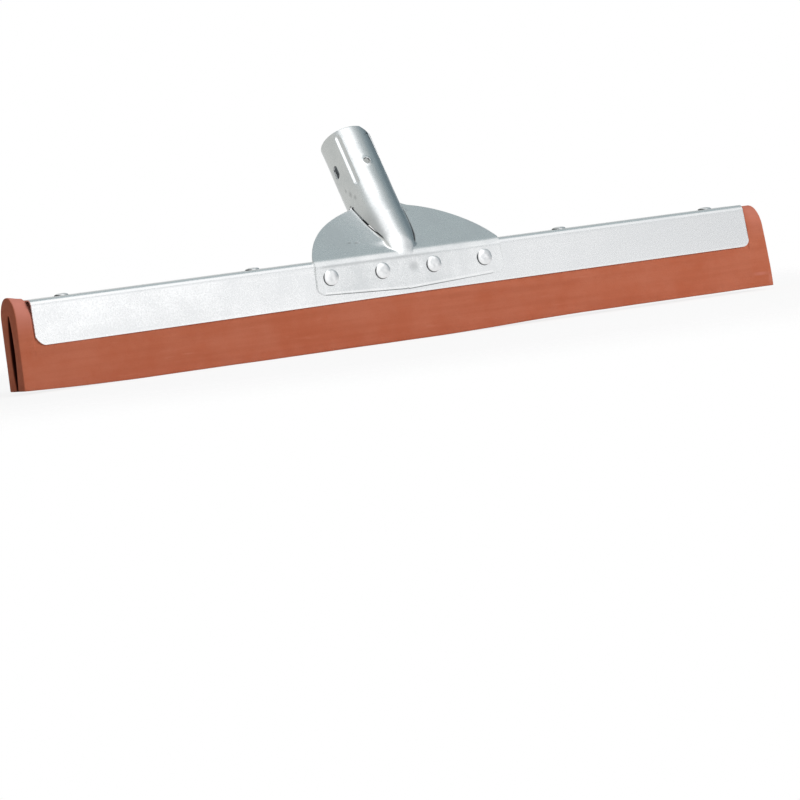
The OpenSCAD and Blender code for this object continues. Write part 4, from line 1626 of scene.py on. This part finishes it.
@dataclass
class Studio:
    """Pale floor, soft light, and the camera at the photograph's angle."""

    origin: Vector
    lens: float = 217.67
    sensor: float = 36.0
    camera_place: tuple[float, float, float] = (-1134.57, -2338.91, 81.91)
    azimuth: float = 25.725
    elevation: float = 2.503
    roll: float = -7.251

    def camera(self) -> None:
        """Sets the camera: its back points against the line of sight, which is turned about
        the upright, tipped down and rolled."""
        azimuth, elevation, roll = (math.radians(a) for a in
                                    (self.azimuth, self.elevation, self.roll))
        right = Vector((math.cos(azimuth), -math.sin(azimuth), 0.0))
        sight = Vector((math.sin(azimuth) * math.cos(elevation),
                        math.cos(azimuth) * math.cos(elevation), -math.sin(elevation)))
        above = right.cross(sight)
        across = right * math.cos(roll) + above * math.sin(roll)
        upward = above * math.cos(roll) - right * math.sin(roll)
        turn = Matrix((across, upward, -sight)).transposed().to_4x4()
        place = Vector(self.camera_place) * MILLIMETRE + self.origin
        data = bpy.data.cameras.new("camera")
        data.lens = self.lens
        data.sensor_width = self.sensor
        data.clip_end = 50.0
        camera = bpy.data.objects.new("camera", data)
        camera.matrix_world = Matrix.Translation(place) @ turn
        bpy.context.scene.collection.objects.link(camera)
        bpy.context.scene.camera = camera

    def floor(self) -> None:
        """Lays a pale round floor that keeps a shadow and fades from sight away from the part."""
        rings = np.array([0.0, 0.2, 0.4, 0.8, 1.5, 3.0, 6.0, 12.0])
        angle = np.linspace(0.0, 2 * math.pi, 97)[None]
        points = np.stack([rings[:, None] * np.cos(angle), rings[:, None] * np.sin(angle),
                           0 * rings[:, None] + 0 * angle], -1) / MILLIMETRE
        maker = MeshMaker(Vector((0.0, 0.0, -0.00005)), [Patch(points[:, ::-1])])
        floor = maker.build("studio_floor")
        material, nodes, shader = new_material("pale_floor")
        shader.inputs["Roughness"].default_value = 0.9
        cloud = nodes.noise(nodes.object_space(), 0.004, 2.0)
        nodes.put(nodes.blend(cloud, (0.86, 0.86, 0.86), (0.88, 0.88, 0.88)),
                  shader.inputs["Base Color"])
        path = nodes.add("LightPath")
        looked_at = nodes.math("MAXIMUM", path.outputs["Is Camera Ray"],
                               path.outputs["Is Glossy Ray"])
        looked_at = nodes.math("MAXIMUM", looked_at, path.outputs["Is Transmission Ray"])
        white = nodes.add("Emission", Color=WHITE, Strength=1.0).outputs[0]
        mixed = nodes.mix_shaders(nodes.math("MULTIPLY", looked_at, 0.82), shader.outputs[0], white)
        away = nodes.add("VectorMath", operation="LENGTH", i0=nodes.object_space())
        fade = nodes.product(nodes.ramp(away.outputs["Value"], 250.0, 600.0), looked_at)
        clear = nodes.add("BsdfTransparent").outputs[0]
        output = next(n for n in nodes.tree.nodes if n.type == "OUTPUT_MATERIAL")
        nodes.put(nodes.mix_shaders(fade, mixed, clear), output.inputs["Surface"])
        floor.data.materials.append(material)

    def world(self) -> None:
        """Surroundings: white to the eye, plain to matt surfaces, and for metal a studio with a
        bright front over a grey skirting, blue-grey overhead, grey to the left, dark to the right
        behind, and white straight behind."""
        world = bpy.data.worlds.new("studio")
        bpy.context.scene.world = world
        world.use_nodes = True
        nodes = Nodes(world.node_tree)
        world.node_tree.nodes.clear()
        look = nodes.add("TexCoord").outputs["Generated"]
        x, y, z = nodes.add("SeparateXYZ", i0=look).outputs

        def along(toward_x: float, toward_y: float, toward_z: float) -> Link:
            """Share of a direction in the look."""
            return nodes.add("VectorMath", operation="DOT_PRODUCT", i0=look,
                             i1=(toward_x, toward_y, toward_z)).outputs["Value"]

        def layered(colour: object, *layers: tuple[object, float, float, object]) -> object:
            """Lays more colours over a first one.

            Args:
                colour: The first colour.
                layers: A part of the look, where the colour starts and is full, and the colour.

            Returns:
                The blended colour.
            """
            for value, low, high, over in layers:
                colour = nodes.blend(nodes.ramp(value, low, high), colour, over)
            return colour

        rightward = along(1.0, 0.2, 0.0)
        studio = layered((0.61, 0.62, 0.6), (z, 0.68, 0.84, (0.43, 0.495, 0.51)),
                         (rightward, 0.5, 0.76, (0.27, 0.335, 0.36)),
                         (rightward, 0.82, 0.93, (0.15, 0.2, 0.225)))
        low_front = layered((1.5, 1.5, 1.5), (x, 0.33, 0.6, (0.32, 0.33, 0.345)))
        high_front = layered((1.7, 1.7, 1.7), (x, 0.15, 0.42, (1.02, 1.025, 1.03)),
                             (x, 0.46, 0.56, (0.7, 0.72, 0.73)))
        front = layered(low_front, (z, 0.03, 0.09, (0.62, 0.64, 0.65)),
                        (z, 0.16, 0.28, high_front))
        skylight = nodes.product(nodes.ramp(x, 0.25, 0.1), nodes.ramp(x, -0.5, -0.3),
                                 nodes.ramp(y, -0.12, 0.02), nodes.ramp(z, 0.7, 0.85))
        studio = nodes.blend(skylight, studio, (1.15, 1.15, 1.15))
        ahead = nodes.product(nodes.ramp(along(0.159, 1.0, 0.0), -0.18, -0.34),
                              nodes.ramp(x, -0.62, -0.44))
        studio = layered(nodes.blend(ahead, studio, front),
                         (along(0.434, 0.9, -0.04), 0.9, 0.96, (0.85, 0.86, 0.87)))
        path = nodes.add("LightPath")
        colour = nodes.blend(path.outputs["Is Glossy Ray"], (0.24, 0.24, 0.245), studio)
        for ray in ("Is Camera Ray", "Is Transmission Ray"):
            colour = nodes.blend(path.outputs[ray], colour, WHITE)
        background = nodes.add("Background", Color=colour, Strength=1.0)
        nodes.add("OutputWorld", Surface=background.outputs[0])

    def lamps(self) -> None:
        """Hangs soft lamps: the key in front, to the right and above, and a weak one behind."""
        for name, place, size, power in (
            ("key", (1.1, -2.2, 1.3), 1.4, 52.0),
            ("top", (0.2, 0.3, 2.4), 1.6, 14.0),
            ("rim", (0.9, 2.0, 0.9), 1.2, 6.0),
        ):
            data = bpy.data.lights.new(name, "AREA")
            data.shape = "DISK"
            data.size = size
            data.energy = power
            lamp = bpy.data.objects.new(name, data)
            lamp.location = place
            lamp.rotation_euler = Vector(place).to_track_quat("Z", "Y").to_euler()
            lamp.visible_glossy = False
            bpy.context.scene.collection.objects.link(lamp)

    def build(self) -> None:
        """Sets up everything round the part."""
        self.camera()
        self.floor()
        self.world()
        self.lamps()
        bpy.context.scene.view_settings.view_transform = "Standard"


def dress(piece: Piece, finish: Finish, *nodes: str) -> None:
    """Gives a piece its finish and its body, and hides the solids that it stands for.

    Args:
        piece: The new piece.
        finish: Its finish.
        nodes: The solids that it replaces.
    """
    material = bpy.data.materials.get(finish.value.name) or finish.value.build()
    piece.data.materials.clear()
    piece.data.materials.append(material)
    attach(piece, "root")
    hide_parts(*nodes)
    log.info("%s: %d faces for %s", piece.name, len(piece.data.polygons), ", ".join(nodes))


def middle_of(node: str, origin: Vector) -> tuple[float, float, float]:
    """Finds the middle of a node's box.

    Args:
        node: Name of the solid.
        origin: Middle plane of the blade in the part's frame.

    Returns:
        X, Y and Z in millimetres from the blade's middle plane.
    """
    low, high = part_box(node)
    centre = ((Vector(low) + Vector(high)) / 2 - origin) / MILLIMETRE
    return centre.x, centre.y, centre.z


def fasteners(head: Head, origin: Vector) -> None:
    """Makes every rivet and the ring under its tail.

    Args:
        head: Shared sizes.
        origin: Middle plane of the blade in the part's frame.
    """
    front = -head.channel_face - head.socket_sheet
    hammered, flat = 0.12, 0.05  # how uneven a head and a ring are
    for i in range(1, 5):
        x, _, z = middle_of(f"flange_rivet_{i}", origin)
        crown_x, _, ring_z = middle_of(f"crown_burr_{i}", origin)
        ring_foot = ring_z - CROWN.ring_sheet / 2
        for name, node, centre, outward, profile, finish, uneven, seed in (
            ("plate_rivet", "flange_rivet", (x, front, z), (0.0, -1.0, 0.0),
             FLANGE.rivet(head.channel_face + FLANGE.ring_sheet - front),
             Finish.RIVET, hammered, i),
            ("plate_ring", "flange_burr", (x, head.channel_face, z), (0.0, 1.0, 0.0),
             FLANGE.burr(), Finish.BURR, flat, i + 10),
            ("crown_pin", "crown_rivet", (crown_x, 0.0, head.channel_top), (0.0, 0.0, 1.0),
             CROWN.rivet(head.channel_top - ring_foot), Finish.RIVET, hammered, i + 20),
            ("crown_ring", "crown_burr", (crown_x, 0.0, ring_foot), (0.0, 0.0, 1.0),
             CROWN.burr(), Finish.BURR, flat, i + 30),
        ):
            turned = Turned(MeshMaker(origin), f"{name}_{i}", centre, outward, profile, uneven,
                            seed)
            dress(turned.build(), finish, f"{node}_{i}")


def main() -> None:
    """Builds the head's pieces and the studio."""
    logging.basicConfig(level=logging.INFO, format="%(message)s")
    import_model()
    low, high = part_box("channel")
    origin = Vector((0.0, (low[1] + high[1]) / 2, 0.0))
    head = Head()
    Studio(origin).build()
    dress(Channel(head, MeshMaker(origin)).build(), Finish.CHANNEL, "channel")
    dress(Blade(head, MeshMaker(origin)).build(), Finish.RUBBER, "rubber_blade")
    dress(Socket(head, MeshMaker(origin)).build(), Finish.SOCKET, "handle_socket")
    fasteners(head, origin)


if __name__ == "__main__":
    main()
